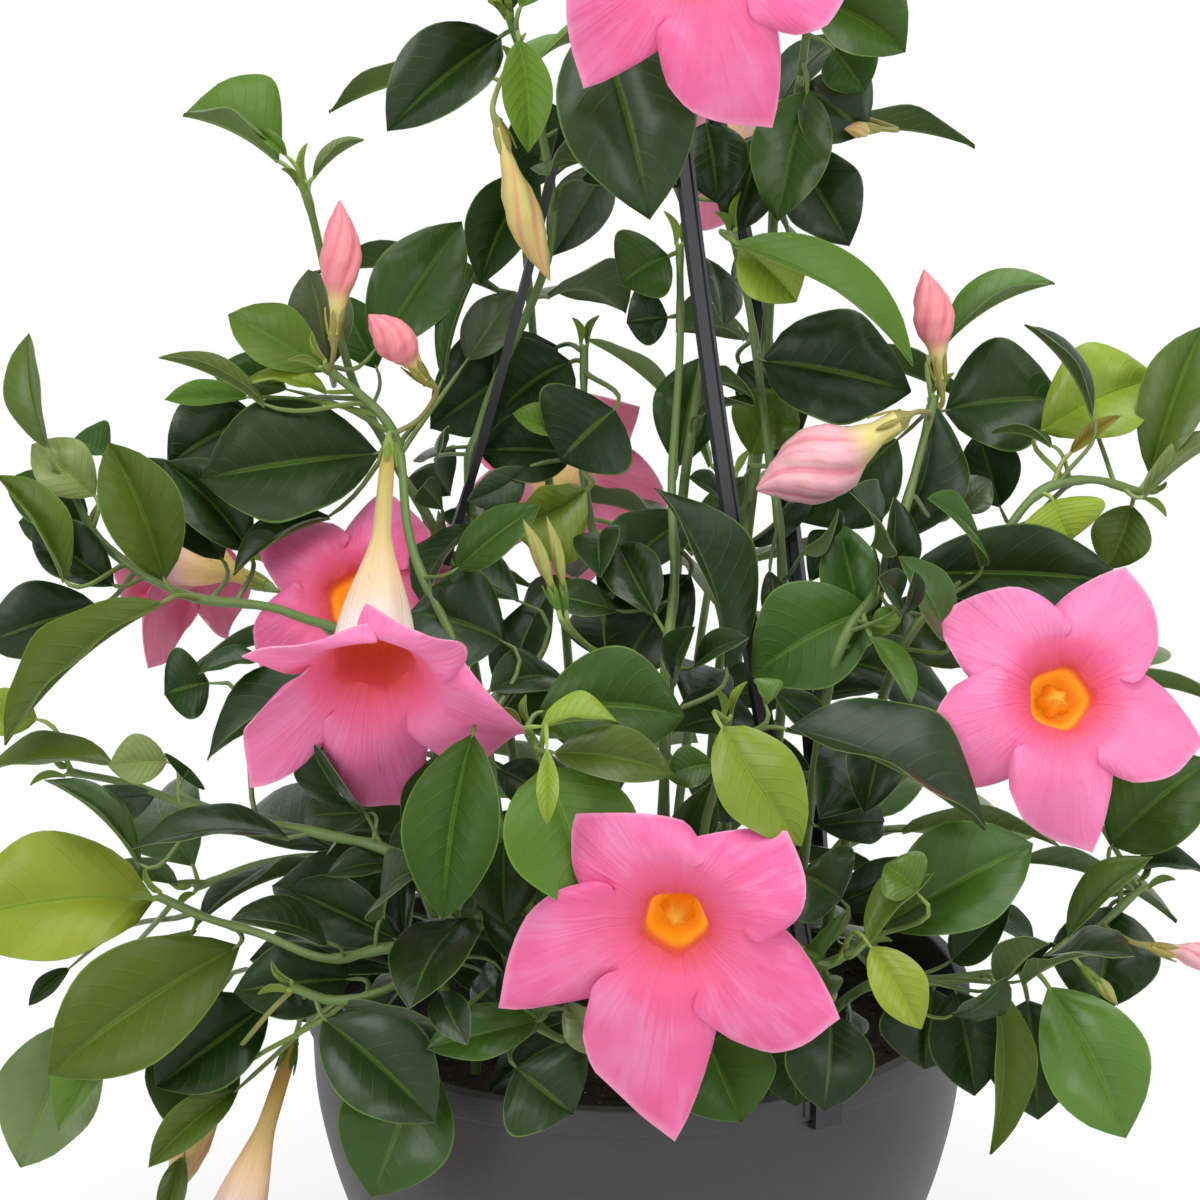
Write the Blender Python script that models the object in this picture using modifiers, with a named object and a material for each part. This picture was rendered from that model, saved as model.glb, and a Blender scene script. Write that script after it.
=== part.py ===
"""Potted mandevilla: a climbing plant in a plastic hanging pot that stands on its base.

Metres, +Z up. The origin is the middle of the pot's flat base and -Y is the front. The foliage is laid out
in millimetres on a board through the middle of the rim: x to the right, up to the top, as someone who
stands in front and looks down on it would draw it. A front distance says how far a point stands in front
of the pot's axis. Every shoot is one solid: its stem, its leaf stalks, its leaves and its flower stalks.
"""

import math
import random

import bmesh
import bpy
from mathutils import Vector
from mathutils.bvhtree import BVHTree

MM = 0.001
SEAT_GAP = 0.3 * MM

# Pot: a turned plastic bowl with a band round its rim and a flat base.
POT_HEIGHT = 165 * MM
RIM_RADIUS = 125 * MM
BAND_HEIGHT = 10.5 * MM
BAND_STEP = 2.5 * MM
WALL = 2.4 * MM
FLOOR_THICKNESS = 3 * MM
BASE_RADIUS = 79 * MM
TURN_STEPS = 30
BOWL_OUTLINE = [(121.0, 125), (116.0, 100), (109.5, 79), (98.0, 45), (86.0, 15), (80.5, 2.5)]

# Potting mix: fills the bowl to a little under the rim.
MIX_LEVEL = 146 * MM

# Hanger: three straps from the rim to a hub with a hook above it.
ARM_BEARINGS = {"hanger_arm_left": -88, "hanger_arm_front": 32, "hanger_arm_back": 145}
ARM_BOWS = {"hanger_arm_left": -10 * MM, "hanger_arm_front": -9 * MM, "hanger_arm_back": 20 * MM}
ARM_WIDTH = 6.5 * MM
ARM_THICKNESS = 3 * MM
ARM_POINTS = 8
CLIP_WIDTH = 11 * MM
CLIP_RISE = 6 * MM
HUB_HEIGHT = 578 * MM
HUB_RADIUS = 9 * MM
HUB_THICKNESS = 7 * MM
HUB_SIDES = 16
HOOK_WIRE_RADIUS = 2.6 * MM
HOOK_BEND_RADIUS = 13 * MM
HOOK_SHANK = 34 * MM
HOOK_STEPS = 9
HOOK_STEP_ANGLE = 26

# The layout board and the standpoint that it is drawn from.
BOARD_PITCH = math.radians(18.2)
STANDPOINT = Vector((-0.014, -1.946, 0.955))
BOARD_CENTRE = Vector((0, 0, POT_HEIGHT))
BOARD_RIGHT = Vector((1, 0, 0))
BOARD_UP = Vector((0, math.sin(BOARD_PITCH), math.cos(BOARD_PITCH)))
BOARD_TOWARD = Vector((0, -math.cos(BOARD_PITCH), math.sin(BOARD_PITCH)))

# The outer leaves' distance in front of the axis, in millimetres on the board: a bulge low down that
# leans back above and falls away to the sides.
BULGE_FRONT = 150
BULGE_LOSS = 158
BULGE_TOP = 60
BULGE_BLEND = 150
BULGE_HALF_WIDTH = 265

# Stems, stalks and leaves.
STEM_RADIUS = 2.0 * MM
STEM_TIP_RADIUS = 1.3 * MM
STEM_POINTS = 6
ROOT_RISE = 9 * MM
STALK_RADIUS = 0.8 * MM
FLOWER_STALK_RADIUS = 1.0 * MM
CALYX_RADIUS = 2.6 * MM
CALYX_LENGTH = 7 * MM
CALYX_SAG = 3 * MM
LEAF_THICKNESS = 1.3 * MM
LEAF_OUTLINE = [(0.2, 0.72), (0.5, 1.0), (0.8, 0.62)]
LEAF_ARCH = 0.09
LEAF_LEAN = 0.2
LEAF_CLEARANCE = 0.4 * MM
LAYER_DEPTH = 12
STALK_LEAD = 8 * MM
FOOT_STEPS = 9
FOOT_SPACING = 2.6 * MM

# How far a leaf moves forward or back, in millimetres, to find a place that is clear of the rest.
LEAF_SHIFTS = (0, -5, 5, -10, 10, -16, 16, -24, 24, -34, 34)

# Leaves that grow by rule: low inside the front shoots, and in pairs on the shoots round the back.
GROWN_STALK = 12 * MM
GROWN_DROOP = 0.25
GROWN_FOLD = math.radians(18)
INNER_LEAF_SIZE = (56 * MM, 32 * MM)
BACK_LEAF_SIZE = (66 * MM, 36 * MM)
BACK_ROOT_RADIUS = 40 * MM
BACK_LEAFY_SHARE = 0.72

# Where a leaf's upper face looks: to the right, up and toward the front of the board.
FACINGS = {
    "front": (0, 0.35, 1),
    "up": (0, 1, 0.5),
    "down": (0, -0.6, 1),
    "left": (-0.8, 0.4, 0.7),
    "right": (0.8, 0.4, 0.7),
}

# Corolla: a funnel that opens into five broad lobes, each with a point to one side of its middle.
# A reach or a rise is a share of the face's radius, and the throat's height is a share of the tube's length.
COROLLA_LOBES = 5
COROLLA_STEPS = 3
COROLLA_SHEET = 0.9 * MM
TUBE_FOOT_RADIUS = 2.2 * MM
THROAT_RADIUS = 11 * MM
THROAT_HEIGHT = 0.94
FLARE_REACH = 0.52
FLARE_RISE = 0.08
LOBE_REACH = [0.62, 1.0, 0.9]
LOBE_RISE = 0.02

# Bud: a narrow neck that swells and comes to a point, as (share of length, share of greatest radius).
BUD_OUTLINE = [(0, 0.3), (0.3, 0.55), (0.55, 1), (0.8, 0.7)]
BUD_SIDES = 6

# Front shoots: name, root (x, y) on the mix, points of the stem (x, up, front), and leaves, each as base x,
# base up, tip x, tip up, width, facing, fold in degrees, and layers behind the outermost leaves.
SHOOTS = [
    ("shoot_crown_left", (-30, 14), [(-58, 150, 2), (-64, 192, -9), (-45, 243, -9), (-28, 298, -9),
        (-42, 340, -12), (-48, 362, -6)], [
        (-50, 356, -94, 319, 38, "front", 30, 0),
        (-47, 364, -92, 382, 26, "up", 25, 0),
        (-45, 359, -41, 311, 22, "front", 35, -2),
        (-38, 305, -59, 261, 30, "front", 35, 1),
        (-30, 352, -38, 298, 28, "front", 20, 2),
        (-48, 364, -58, 408, 28, "front", 20, 1),
        (-44, 366, -22, 402, 26, "front", 20, 0),
    ]),
    ("shoot_crown_center", (6, 22), [(14, 150, 5), (25, 228, -8), (24, 262, -12), (14, 304, -14),
        (-8, 350, -14), (-14, 374, -4)], [
        (-15, 360, 5, 286, 50, "front", 12, -3),
        (-12, 306, -32, 272, 24, "front", 20, 1),
        (-14, 376, -2, 418, 30, "up", 20, 1),
        (-14, 372, -34, 392, 24, "front", 20, 1),
    ]),
    ("shoot_crown_right", (30, 20), [(40, 150, 0), (48, 220, -26), (52, 290, -34), (60, 330, -32),
        (66, 374, -16)], [
        (24, 336, 30, 292, 28, "front", 20, 2),
        (64, 334, 53, 285, 32, "front", 25, 0),
        (54, 342, 86, 318, 36, "front", 15, 1),
        (58, 312, 80, 276, 32, "front", 15, 1),
        (68, 368, 101, 349, 42, "front", 30, -1),
        (74, 350, 86, 334, 24, "front", 15, 1),
        (67, 376, 98, 398, 30, "up", 25, 0),
        (64, 376, 56, 412, 28, "front", 20, 1),
        (46, 318, 36, 280, 26, "front", 20, 2),
    ]),
    ("shoot_lone_sprig", (-44, 30), [(-66, 140, -6), (-92, 196, -18), (-108, 228, -14), (-122, 286, 0),
        (-126, 299, 2)], [
        (-135, 308, -171, 325, 50, "up", 40, 0),
        (-132, 310, -145, 320, 7, "front", 40, -1),
        (-122, 302, -103, 316, 10, "up", 55, 0),
    ]),
    ("shoot_upper_left", (-40, -16), [(-60, 100, 86), (-84, 160, 60), (-89, 195, 38), (-96, 212, 20),
        (-118, 231, 14)], [
        (-116, 230, -124, 267, 26, "front", 20, 2),
        (-118, 229, -154, 250, 26, "front", 20, 0),
        (-117, 221, -148, 224, 20, "up", 20, -1),
        (-99, 236, -66, 285, 34, "front", 15, 2),
        (-88, 199, -165, 188, 50, "front", 15, -1),
        (-143, 212, -177, 193, 34, "front", 20, 1),
        (-140, 216, -180, 234, 14, "up", 50, -1),
        (-147, 219, -178, 218, 12, "front", 30, 0),
        (-132, 222, -160, 228, 18, "front", 20, 1),
        (-116, 174, -152, 152, 22, "up", 30, 0),
        (-73, 226, -57, 272, 15, "left", 40, 1),
        (-64, 233, -46, 259, 20, "front", 20, 1),
    ]),
    ("shoot_left_high", (-58, -2), [(-76, 95, 85), (-115, 128, 55), (-150, 146, 32), (-182, 145, 18),
        (-204, 168, 6), (-214, 186, 0)], [
        (-178, 142, -238, 88, 36, "up", 35, -1),
        (-178, 150, -199, 202, 34, "front", 30, -1),
        (-184, 190, -213, 202, 28, "up", 20, 1),
        (-204, 182, -228, 201, 24, "front", 20, 0),
        (-222, 200, -229, 243, 22, "left", 20, 0),
        (-197, 148, -228, 171, 24, "front", 20, 0),
        (-212, 144, -242, 190, 26, "up", 50, -1),
        (-207, 170, -238, 188, 24, "front", 20, 1),
        (-208, 166, -233, 172, 20, "front", 20, 2),
        (-146, 161, -178, 195, 30, "front", 30, 0),
        (-156, 158, -190, 196, 28, "front", 25, 1),
        (-203, 140, -246, 126, 32, "front", 20, 1),
    ]),
    ("shoot_left_middle", (-66, -24), [(-84, 40, 105), (-120, 55, 95), (-157, 61, 75), (-190, 73, 55),
        (-214, 78, 42)], [
        (-177, 82, -199, 80, 20, "front", 20, 0),
        (-178, 70, -208, 69, 18, "down", 20, 1),
        (-197, 81, -246, 78, 26, "up", 20, -1),
        (-226, 98, -250, 101, 20, "front", 20, 0),
        (-181, 37, -223, 75, 18, "up", 45, -1),
        (-131, 53, -190, 49, 26, "up", 20, 0),
        (-148, 101, -168, 79, 22, "front", 25, 1),
        (-138, 118, -178, 107, 30, "front", 20, 1),
    ]),
    ("shoot_left_low", (-60, -46), [(-78, 8, 112), (-108, 6, 116), (-128, 12, 110), (-150, 20, 100),
        (-165, 24, 90), (-180, 31, 80)], [
        (-179, 31, -260, 20, 50, "front", 15, -2),
        (-149, 13, -222, -36, 46, "front", 15, -2),
        (-162, 25, -218, -57, 40, "up", 25, -1),
        (-205, -15, -232, -71, 40, "front", 15, 0),
        (-214, 4, -229, -10, 9, "front", 30, 1),
    ]),
    ("shoot_bottom_left", (-40, -62), [(-56, 24, 96), (-80, 4, 128), (-108, -8, 132), (-130, -3, 130)], [
        (-108, 0, -152, -5, 30, "front", 15, 1),
        (-139, -9, -181, -41, 42, "front", 30, 0),
        (-160, -14, -171, -61, 36, "front", 15, 2),
        (-118, -15, -76, -54, 40, "front", 20, -1),
        (-80, -30, -100, -82, 44, "front", 15, 1),
        (-112, -9, -68, -19, 26, "down", 25, 0),
        (-151, -42, -184, -71, 18, "front", 30, -1),
        (-171, -67, -178, -96, 12, "front", 30, -1),
    ]),
    ("shoot_front_left", (-26, -44), [(-44, 40, 90), (-57, 70, 112), (-60, 96, 116)], [
        (-62, 92, -73, 22, 36, "front", 20, -1),
        (-73, 86, -77, 42, 26, "left", 15, 1),
        (-50, 52, -50, 21, 26, "front", 15, 1),
        (-46, 126, -86, 138, 40, "front", 12, 0),
        (-42, 142, -74, 151, 32, "up", 15, 1),
    ]),
    ("shoot_front_center", (-6, -52), [(-16, 30, 90), (-30, 70, 122), (-42, 95, 126)], [
        (-48, 101, 18, 99, 42, "front", 15, 0),
        (-43, 95, -7, 96, 22, "up", 30, -2),
        (-31, 85, 14, 77, 22, "front", 25, -1),
        (-34, 86, -34, 58, 9, "front", 30, -3),
        (-37, 84, -16, 24, 48, "front", 15, -1),
    ]),
    ("shoot_center_left", (-14, -14), [(-8, 110, 55), (-18, 170, 10), (-20, 200, -5), (-20, 238, -22)], [
        (-30, 238, -78, 207, 42, "front", 15, 1),
        (-20, 236, -52, 213, 38, "front", 15, 1),
        (-27, 206, -47, 213, 14, "front", 30, -1),
        (-18, 198, -60, 199, 30, "front", 15, 0),
        (-42, 192, -64, 180, 18, "down", 15, 0),
        (8, 196, -49, 171, 40, "down", 35, -1),
        (22, 243, -29, 195, 46, "front", 15, -1),
    ]),
    ("shoot_center_right", (12, -20), [(10, 100, 90), (14, 150, 62), (13, 186, 36), (16, 236, 2),
        (16, 276, -8)], [
        (18, 276, -6, 261, 32, "front", 20, 0),
        (18, 250, -4, 247, 26, "front", 20, 1),
        (14, 187, 24, 234, 28, "front", 20, 0),
        (38, 106, 7, 185, 40, "right", 35, -1),
        (20, 152, -8, 112, 32, "front", 15, 2),
    ]),
    ("shoot_right_high", (38, -12), [(56, 120, 48), (51, 180, 20), (45, 236, -12), (36, 281, -18)], [
        (33, 279, 104, 231, 34, "up", 25, -3),
        (31, 283, 60, 255, 30, "front", 20, -2),
        (31, 236, 103, 221, 46, "front", 15, -1),
        (39, 190, 56, 222, 28, "front", 20, 0),
        (38, 232, 62, 206, 30, "front", 15, 1),
    ]),
    ("shoot_right_buds", (56, -6), [(72, 110, 90), (92, 148, 66), (97, 162, 52), (107, 200, 28),
        (112, 219, 20)], [
        (95, 159, 110, 219, 34, "right", 35, -1),
        (101, 152, 184, 149, 36, "front", 25, -1),
        (98, 203, 62, 172, 42, "front", 15, 2),
        (120, 176, 133, 188, 16, "front", 15, 0),
        (117, 241, 157, 262, 26, "up", 40, 1),
        (116, 214, 160, 218, 46, "front", 15, 1),
        (86, 127, 76, 172, 24, "front", 20, -1),
        (88, 129, 103, 104, 17, "right", 20, -1),
        (89, 128, 98, 141, 10, "front", 20, -1),
        (88, 139, 43, 114, 42, "front", 12, 0),
        (99, 143, 128, 119, 30, "front", 12, 1),
    ]),
    ("shoot_right_far", (66, 10), [(96, 116, 70), (130, 156, 45), (150, 182, 32), (170, 188, 22),
        (190, 183, 12)], [
        (151, 206, 197, 226, 40, "front", 20, 0),
        (168, 218, 161, 235, 12, "front", 20, 1),
        (193, 190, 213, 246, 30, "front", 30, 0),
        (146, 205, 163, 165, 34, "front", 5, -3),
        (163, 198, 182, 212, 8, "front", 40, -2),
        (188, 183, 177, 154, 24, "front", 20, 0),
        (190, 181, 226, 206, 16, "up", 50, -1),
        (138, 172, 128, 206, 24, "front", 15, 2),
    ]),
    ("shoot_right_middle", (22, -48), [(24, 45, 92), (31, 78, 114), (34, 98, 118)], [
        (31, 96, 62, 50, 32, "front", 20, -2),
        (29, 81, 11, 76, 16, "front", 15, 0),
        (59, 82, 44, 113, 16, "right", 30, -1),
        (56, 94, 131, 56, 54, "up", 30, 0),
    ]),
    ("shoot_right_low", (44, -44), [(52, 8, 108), (68, 4, 122), (85, 14, 124)], [
        (63, 68, 93, 43, 22, "front", 20, -1),
        (92, 20, 149, 51, 42, "front", 20, -1),
        (87, 14, 112, 40, 20, "left", 30, -2),
        (87, 14, 107, -19, 20, "front", 15, -3),
        (47, 24, 69, 7, 38, "front", 10, -1),
        (60, 12, 71, -9, 18, "front", 15, -1),
        (93, 0, 67, -11, 12, "up", 30, 0),
        (73, -13, 70, -50, 32, "front", 10, -1),
        (95, 18, 62, 40, 34, "front", 12, 1),
    ]),
    ("shoot_bottom_right", (62, -34), [(82, -4, 112), (108, -2, 118), (132, 3, 110), (158, 8, 96),
        (176, 22, 84), (190, 35, 74)], [
        (112, 4, 108, -34, 36, "front", 10, 1),
        (134, 0, 133, -66, 26, "right", 30, -2),
        (119, 0, 127, -44, 28, "front", 10, 0),
        (155, -3, 184, -60, 40, "front", 15, -3),
        (147, -8, 151, -53, 36, "front", 10, -1),
        (178, 30, 172, -13, 40, "front", 12, 0),
        (162, 15, 194, 46, 20, "left", 25, -1),
        (172, 43, 214, 40, 18, "up", 20, 0),
        (178, 50, 216, 82, 38, "front", 15, 0),
        (158, 45, 166, 18, 20, "right", 15, 1),
        (154, 9, 128, 26, 18, "up", 20, 0),
    ]),
    ("shoot_front_low", (6, -66), [(-14, -10, 112), (-40, -14, 128), (-25, -24, 134), (-7, -36, 138)], [
        (-56, -25, -24, -51, 42, "front", 15, -1),
        (-5, -35, -27, -8, 16, "left", 25, -1),
        (26, -22, 39, -54, 38, "front", 12, 0),
        (14, -20, 12, -47, 30, "front", 12, 1),
        (56, -18, 60, -48, 24, "front", 10, 1),
    ]),
]

# Flowers: name, shoot, middle of the face (x, up, front), looks toward, face radius, tube length, turn.
FLOWERS = [
    ("flower_top", "shoot_crown_center", (22, 386, 66), (0.05, -0.15, 0.98), 60, 50, 3),
    ("flower_left", "shoot_upper_left", (-100, 115, 140), (-0.03, -0.76, 0.65), 56, 104, 18),
    ("flower_left_behind", "shoot_lone_sprig", (-107, 144, 30), (-0.2, 0.3, 0.9), 48, 42, -1),
    ("flower_front", "shoot_front_center", (14, 20, 176), (-0.1, -0.3, 0.95), 64, 50, 32),
    ("flower_right", "shoot_bottom_right", (160, 106, 105), (0.1, 0.1, 1), 56, 46, 20),
    ("flower_low_left", "shoot_bottom_left", (-154, -100, 138), (-0.28, -0.9, 0.35), 44, 76, 0),
    ("flower_back_high", "shoot_back_high_right", (36, 318, -112), (0.3, 0.5, -0.8), 42, 46, 10),
    ("flower_back", "shoot_back_middle", (-30, 190, -185), (-0.1, 0.3, -1), 48, 48, 25),
    ("flower_back_left", "shoot_back_left", (-170, 160, -110), (-0.8, 0.3, -0.7), 46, 46, 0),
]

# Buds: name, shoot, foot (x, up, front), tip (x, up, front), greatest radius.
BUDS = [
    ("bud_upper_left", "shoot_upper_left", (-114, 243, 26), (-112, 293, 22), 7.5),
    ("bud_upper_left_second", "shoot_upper_left", (-80, 226, 34), (-101, 250, 44), 7.5),
    ("bud_low_left", "shoot_bottom_left", (-151, -30, 108), (-176, -84, 84), 6.5),
    ("bud_crown", "shoot_crown_left", (-52, 321, 26), (-33, 263, 30), 6.5),
    ("bud_center", "shoot_right_buds", (98, 210, 40), (45, 184, 52), 14),
    ("bud_right", "shoot_right_buds", (114, 226, 22), (108, 267, 20), 7.5),
    ("bud_hooked", "shoot_crown_right", (91, 320, -12), (78, 320, -6), 3),
    ("bud_slender", "shoot_center_left", (-30, 140, 108), (-43, 173, 110), 2.6),
    ("bud_slender_second", "shoot_center_left", (-27, 140, 104), (-34, 174, 104), 2.4),
    ("bud_low_right", "shoot_bottom_right", (168, 4, 104), (181, -10, 112), 2.6),
    ("bud_far_right", "shoot_bottom_right", (194, 12, 100), (226, 4, 108), 5),
]

# Shoots round the back: bearing from the front, radius and height of each point of the stem, and leaves.
BACK_SHOOTS = {
    "shoot_back_right": (100, [(70, 205), (120, 255), (165, 270)], 6),
    "shoot_back_right_low": (124, [(75, 190), (125, 200), (168, 178)], 6),
    "shoot_back_high_right": (140, [(45, 260), (72, 380), (78, 475)], 8),
    "shoot_back_middle": (166, [(70, 215), (118, 285), (160, 315)], 8),
    "shoot_back_low": (188, [(75, 190), (130, 198), (178, 168)], 6),
    "shoot_back_high_left": (214, [(45, 270), (70, 400), (82, 500)], 8),
    "shoot_back_left": (236, [(70, 215), (120, 275), (168, 300)], 8),
    "shoot_back_left_low": (258, [(75, 190), (125, 205), (172, 188)], 6),
}


def clear_scene():
    """Remove every object, so that the script can be run again."""
    for item in list(bpy.data.objects):
        bpy.data.objects.remove(item, do_unlink=True)


def new_collection(name):
    """Return a collection linked to the scene."""
    group = bpy.data.collections.new(name)
    bpy.context.scene.collection.children.link(group)
    return group


def material(name, colour, roughness=0.5, metallic=0.0):
    """Return a Principled material of one colour."""
    item = bpy.data.materials.new(name)
    item.use_nodes = True
    shader = item.node_tree.nodes["Principled BSDF"]
    shader.inputs["Base Color"].default_value = (*colour, 1)
    shader.inputs["Roughness"].default_value = roughness
    shader.inputs["Metallic"].default_value = metallic
    return item


def add_object(name, mesh, group, finish=None):
    """Link an object with this mesh to the collection, in its finish."""
    item = bpy.data.objects.new(name, mesh)
    group.objects.link(item)
    if finish:
        mesh.materials.clear()
        mesh.materials.append(finish)
    return item


def to_mesh(name, shape):
    """Return a mesh from a shape, a pair of points and faces, with its faces turned outward."""
    mesh = bpy.data.meshes.new(name)
    build = bmesh.new()
    points = [build.verts.new(point) for point in shape[0]]
    for face in shape[1]:
        build.faces.new([points[index] for index in face])
    bmesh.ops.recalc_face_normals(build, faces=build.faces)
    build.to_mesh(mesh)
    build.free()
    return mesh


def to_shape(mesh):
    """Return the points and faces of a mesh."""
    return [vertex.co.copy() for vertex in mesh.vertices], [tuple(face.vertices) for face in mesh.polygons]


def loft(rings, tip=None):
    """Return the closed shape through rings of points, capped at its foot and at its end or tip.

    The diagonals of neighbouring faces mirror each other, so the two sides of a thin blade never cross.
    """
    count = len(rings[0])
    points = [point for ring in rings for point in ring]
    faces = [tuple(reversed(range(count)))]
    for lower in range(len(rings) - 1):
        for step in range(count):
            near = lower * count + step
            beside = lower * count + (step + 1) % count
            above, across = near + count, beside + count
            if step % 2:
                faces.extend([(near, beside, across), (near, across, above)])
            else:
                faces.extend([(near, beside, above), (beside, across, above)])
    last = (len(rings) - 1) * count
    if tip is None:
        faces.append(tuple(range(last, last + count)))
    else:
        points.append(tip)
        faces.extend((last + step, last + (step + 1) % count, len(points) - 1) for step in range(count))
    return points, faces


def smooth_path(points, count):
    """Return count points, evenly spaced on a smooth curve through the given points."""
    knots = [2 * points[0] - points[1], *points, 2 * points[-1] - points[-2]]
    samples = []
    for index in range(count):
        along = index * (len(points) - 1) / (count - 1)
        span = min(int(along), len(points) - 2)
        share = along - span
        before, start, end, after = knots[span:span + 4]
        samples.append(0.5 * (2 * start + (end - before) * share
                              + (2 * before - 5 * start + 4 * end - after) * share ** 2
                              + (3 * start - before - 3 * end + after) * share ** 3))
    return samples


def tube(points, radii, group):
    """Return the mesh of a four-sided tube along the points, with a radius at each and welded caps."""
    curve = bpy.data.curves.new("tube", "CURVE")
    curve.dimensions = "3D"
    curve.bevel_depth = 1
    curve.bevel_resolution = 0
    curve.use_fill_caps = True
    spline = curve.splines.new("POLY")
    spline.points.add(len(points) - 1)
    for knot, point, radius in zip(spline.points, points, radii):
        knot.co = (*point, 1)
        knot.radius = radius
    guide = bpy.data.objects.new("tube", curve)
    group.objects.link(guide)
    evaluated = guide.evaluated_get(bpy.context.evaluated_depsgraph_get())
    mesh = bpy.data.meshes.new_from_object(evaluated)
    bpy.data.objects.remove(guide)
    build = bmesh.new()
    build.from_mesh(mesh)
    bmesh.ops.remove_doubles(build, verts=build.verts, dist=0.00001)
    bmesh.ops.recalc_face_normals(build, faces=build.faces)
    build.to_mesh(mesh)
    build.free()
    return mesh


def union(name, meshes, group):
    """Return one mesh that is the Boolean union of the meshes."""
    base = add_object(name, meshes[0], group)
    operands = bpy.data.collections.new(name + "_operands")
    bpy.context.scene.collection.children.link(operands)
    for index, mesh in enumerate(meshes[1:]):
        add_object(f"{name}_operand_{index}", mesh, operands)
    join = base.modifiers.new("join", "BOOLEAN")
    join.operation = "UNION"
    join.solver = "EXACT"
    join.operand_type = "COLLECTION"
    join.collection = operands
    evaluated = base.evaluated_get(bpy.context.evaluated_depsgraph_get())
    result = bpy.data.meshes.new_from_object(evaluated)
    for item in [base, *operands.objects]:
        bpy.data.objects.remove(item)
    bpy.data.collections.remove(operands)
    return result


def board_point(x, up, front):
    """Return the point that is drawn at x, up on the board and stands this far in front of the axis."""
    drawn = BOARD_CENTRE + BOARD_RIGHT * x * MM + BOARD_UP * up * MM
    share = (-front * MM - STANDPOINT.y) / (drawn.y - STANDPOINT.y)
    return STANDPOINT + (drawn - STANDPOINT) * share


def board_direction(right, up, toward):
    """Return the unit vector with these parts along the board's own axes."""
    return (BOARD_RIGHT * right + BOARD_UP * up + BOARD_TOWARD * toward).normalized()


def foliage_front(x, up):
    """Return how far in front of the axis the outer leaves stand at this place on the board."""
    share = min(max((up - BULGE_TOP) / BULGE_BLEND, 0), 1)
    bulge = BULGE_FRONT - BULGE_LOSS * share * share * (3 - 2 * share)
    return bulge * (1 - (x / BULGE_HALF_WIDTH) ** 2)


def leaf_shape(foot, base, tip, facing, width, fold):
    """Return a leaf: a stalk from the stem, then a folded and arched blade with a drawn-out tip."""
    axis = tip - base
    length = axis.length
    axis.normalize()
    normal = (facing - axis * facing.dot(axis)).normalized()
    half = LEAF_THICKNESS / 2
    stalk = (base - foot).normalized()

    def ring(centre, along, across, lift):
        out = (normal - along * normal.dot(along)).normalized()
        side = along.cross(out)
        rise = out * math.sin(lift)
        left, right = rise - side * math.cos(lift), rise + side * math.cos(lift)
        return [centre + left * across, centre + out * half, centre + right * across, centre - out * half]

    rings = [ring(foot, stalk, STALK_RADIUS, 0), ring(base, (stalk + axis).normalized(), STALK_RADIUS, 0)]
    for share, spread in LEAF_OUTLINE:
        centre = base + axis * length * share + normal * length * LEAF_ARCH * 4 * share * (1 - share)
        rings.append(ring(centre, axis, width / 2 * spread, fold))
    return loft(rings, tip)


def nearest_on_path(path, point, taken=()):
    """Return the point of a path of straight runs that is nearest, a little apart from those taken."""
    candidates = []
    for start, end in zip(path[1:], path[2:]):
        for step in range(FOOT_STEPS):
            candidates.append(start.lerp(end, (step + 0.5) / FOOT_STEPS))
    free = [spot for spot in candidates if all((spot - other).length > FOOT_SPACING for other in taken)]
    return min(free or candidates, key=lambda spot: (spot - point).length)


def crosses_itself(shape):
    """Say whether two faces of the shape that share no corner meet."""
    tree = BVHTree.FromPolygons(*shape)
    faces = shape[1]
    return any(not set(faces[one]) & set(faces[other]) for one, other in tree.overlap(tree))


class Clearing:
    """The solids placed so far, against which each new piece is tried."""

    def __init__(self):
        self.placed = []

    def add(self, owner, shape):
        """Keep a shape that belongs to the named piece."""
        tree = BVHTree.FromPolygons(*shape, epsilon=LEAF_CLEARANCE)
        low = [min(point[axis] for point in shape[0]) for axis in range(3)]
        high = [max(point[axis] for point in shape[0]) for axis in range(3)]
        self.placed.append((owner, low, high, tree))

    def is_clear(self, shape, own=None):
        """Say whether the shape touches nothing that is placed, its own piece left aside."""
        tree = BVHTree.FromPolygons(*shape, epsilon=LEAF_CLEARANCE)
        low = [min(point[axis] for point in shape[0]) - LEAF_CLEARANCE for axis in range(3)]
        high = [max(point[axis] for point in shape[0]) + LEAF_CLEARANCE for axis in range(3)]
        for owner, other_low, other_high, other in self.placed:
            apart = any(low[axis] > other_high[axis] or high[axis] < other_low[axis] for axis in range(3))
            if owner != own and not apart and tree.overlap(other):
                return False
        return True


def turned(name, outline, group, finish):
    """Return a turned piece: an outline of radius and height, spun round the upright axis."""
    mesh = bpy.data.meshes.new(name)
    points = [(radius, 0, height) for radius, height in outline]
    mesh.from_pydata(points, [(index, index + 1) for index in range(len(points) - 1)], [])
    item = add_object(name, mesh, group, finish)
    spin = item.modifiers.new("turn", "SCREW")
    spin.steps = TURN_STEPS
    spin.render_steps = TURN_STEPS
    spin.use_merge_vertices = True
    spin.merge_threshold = 0.00001
    return item


def bowl_outline():
    """Return the bowl's outer outline under the band, top to bottom, in metres."""
    return [(radius * MM, height * MM) for radius, height in BOWL_OUTLINE]


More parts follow.
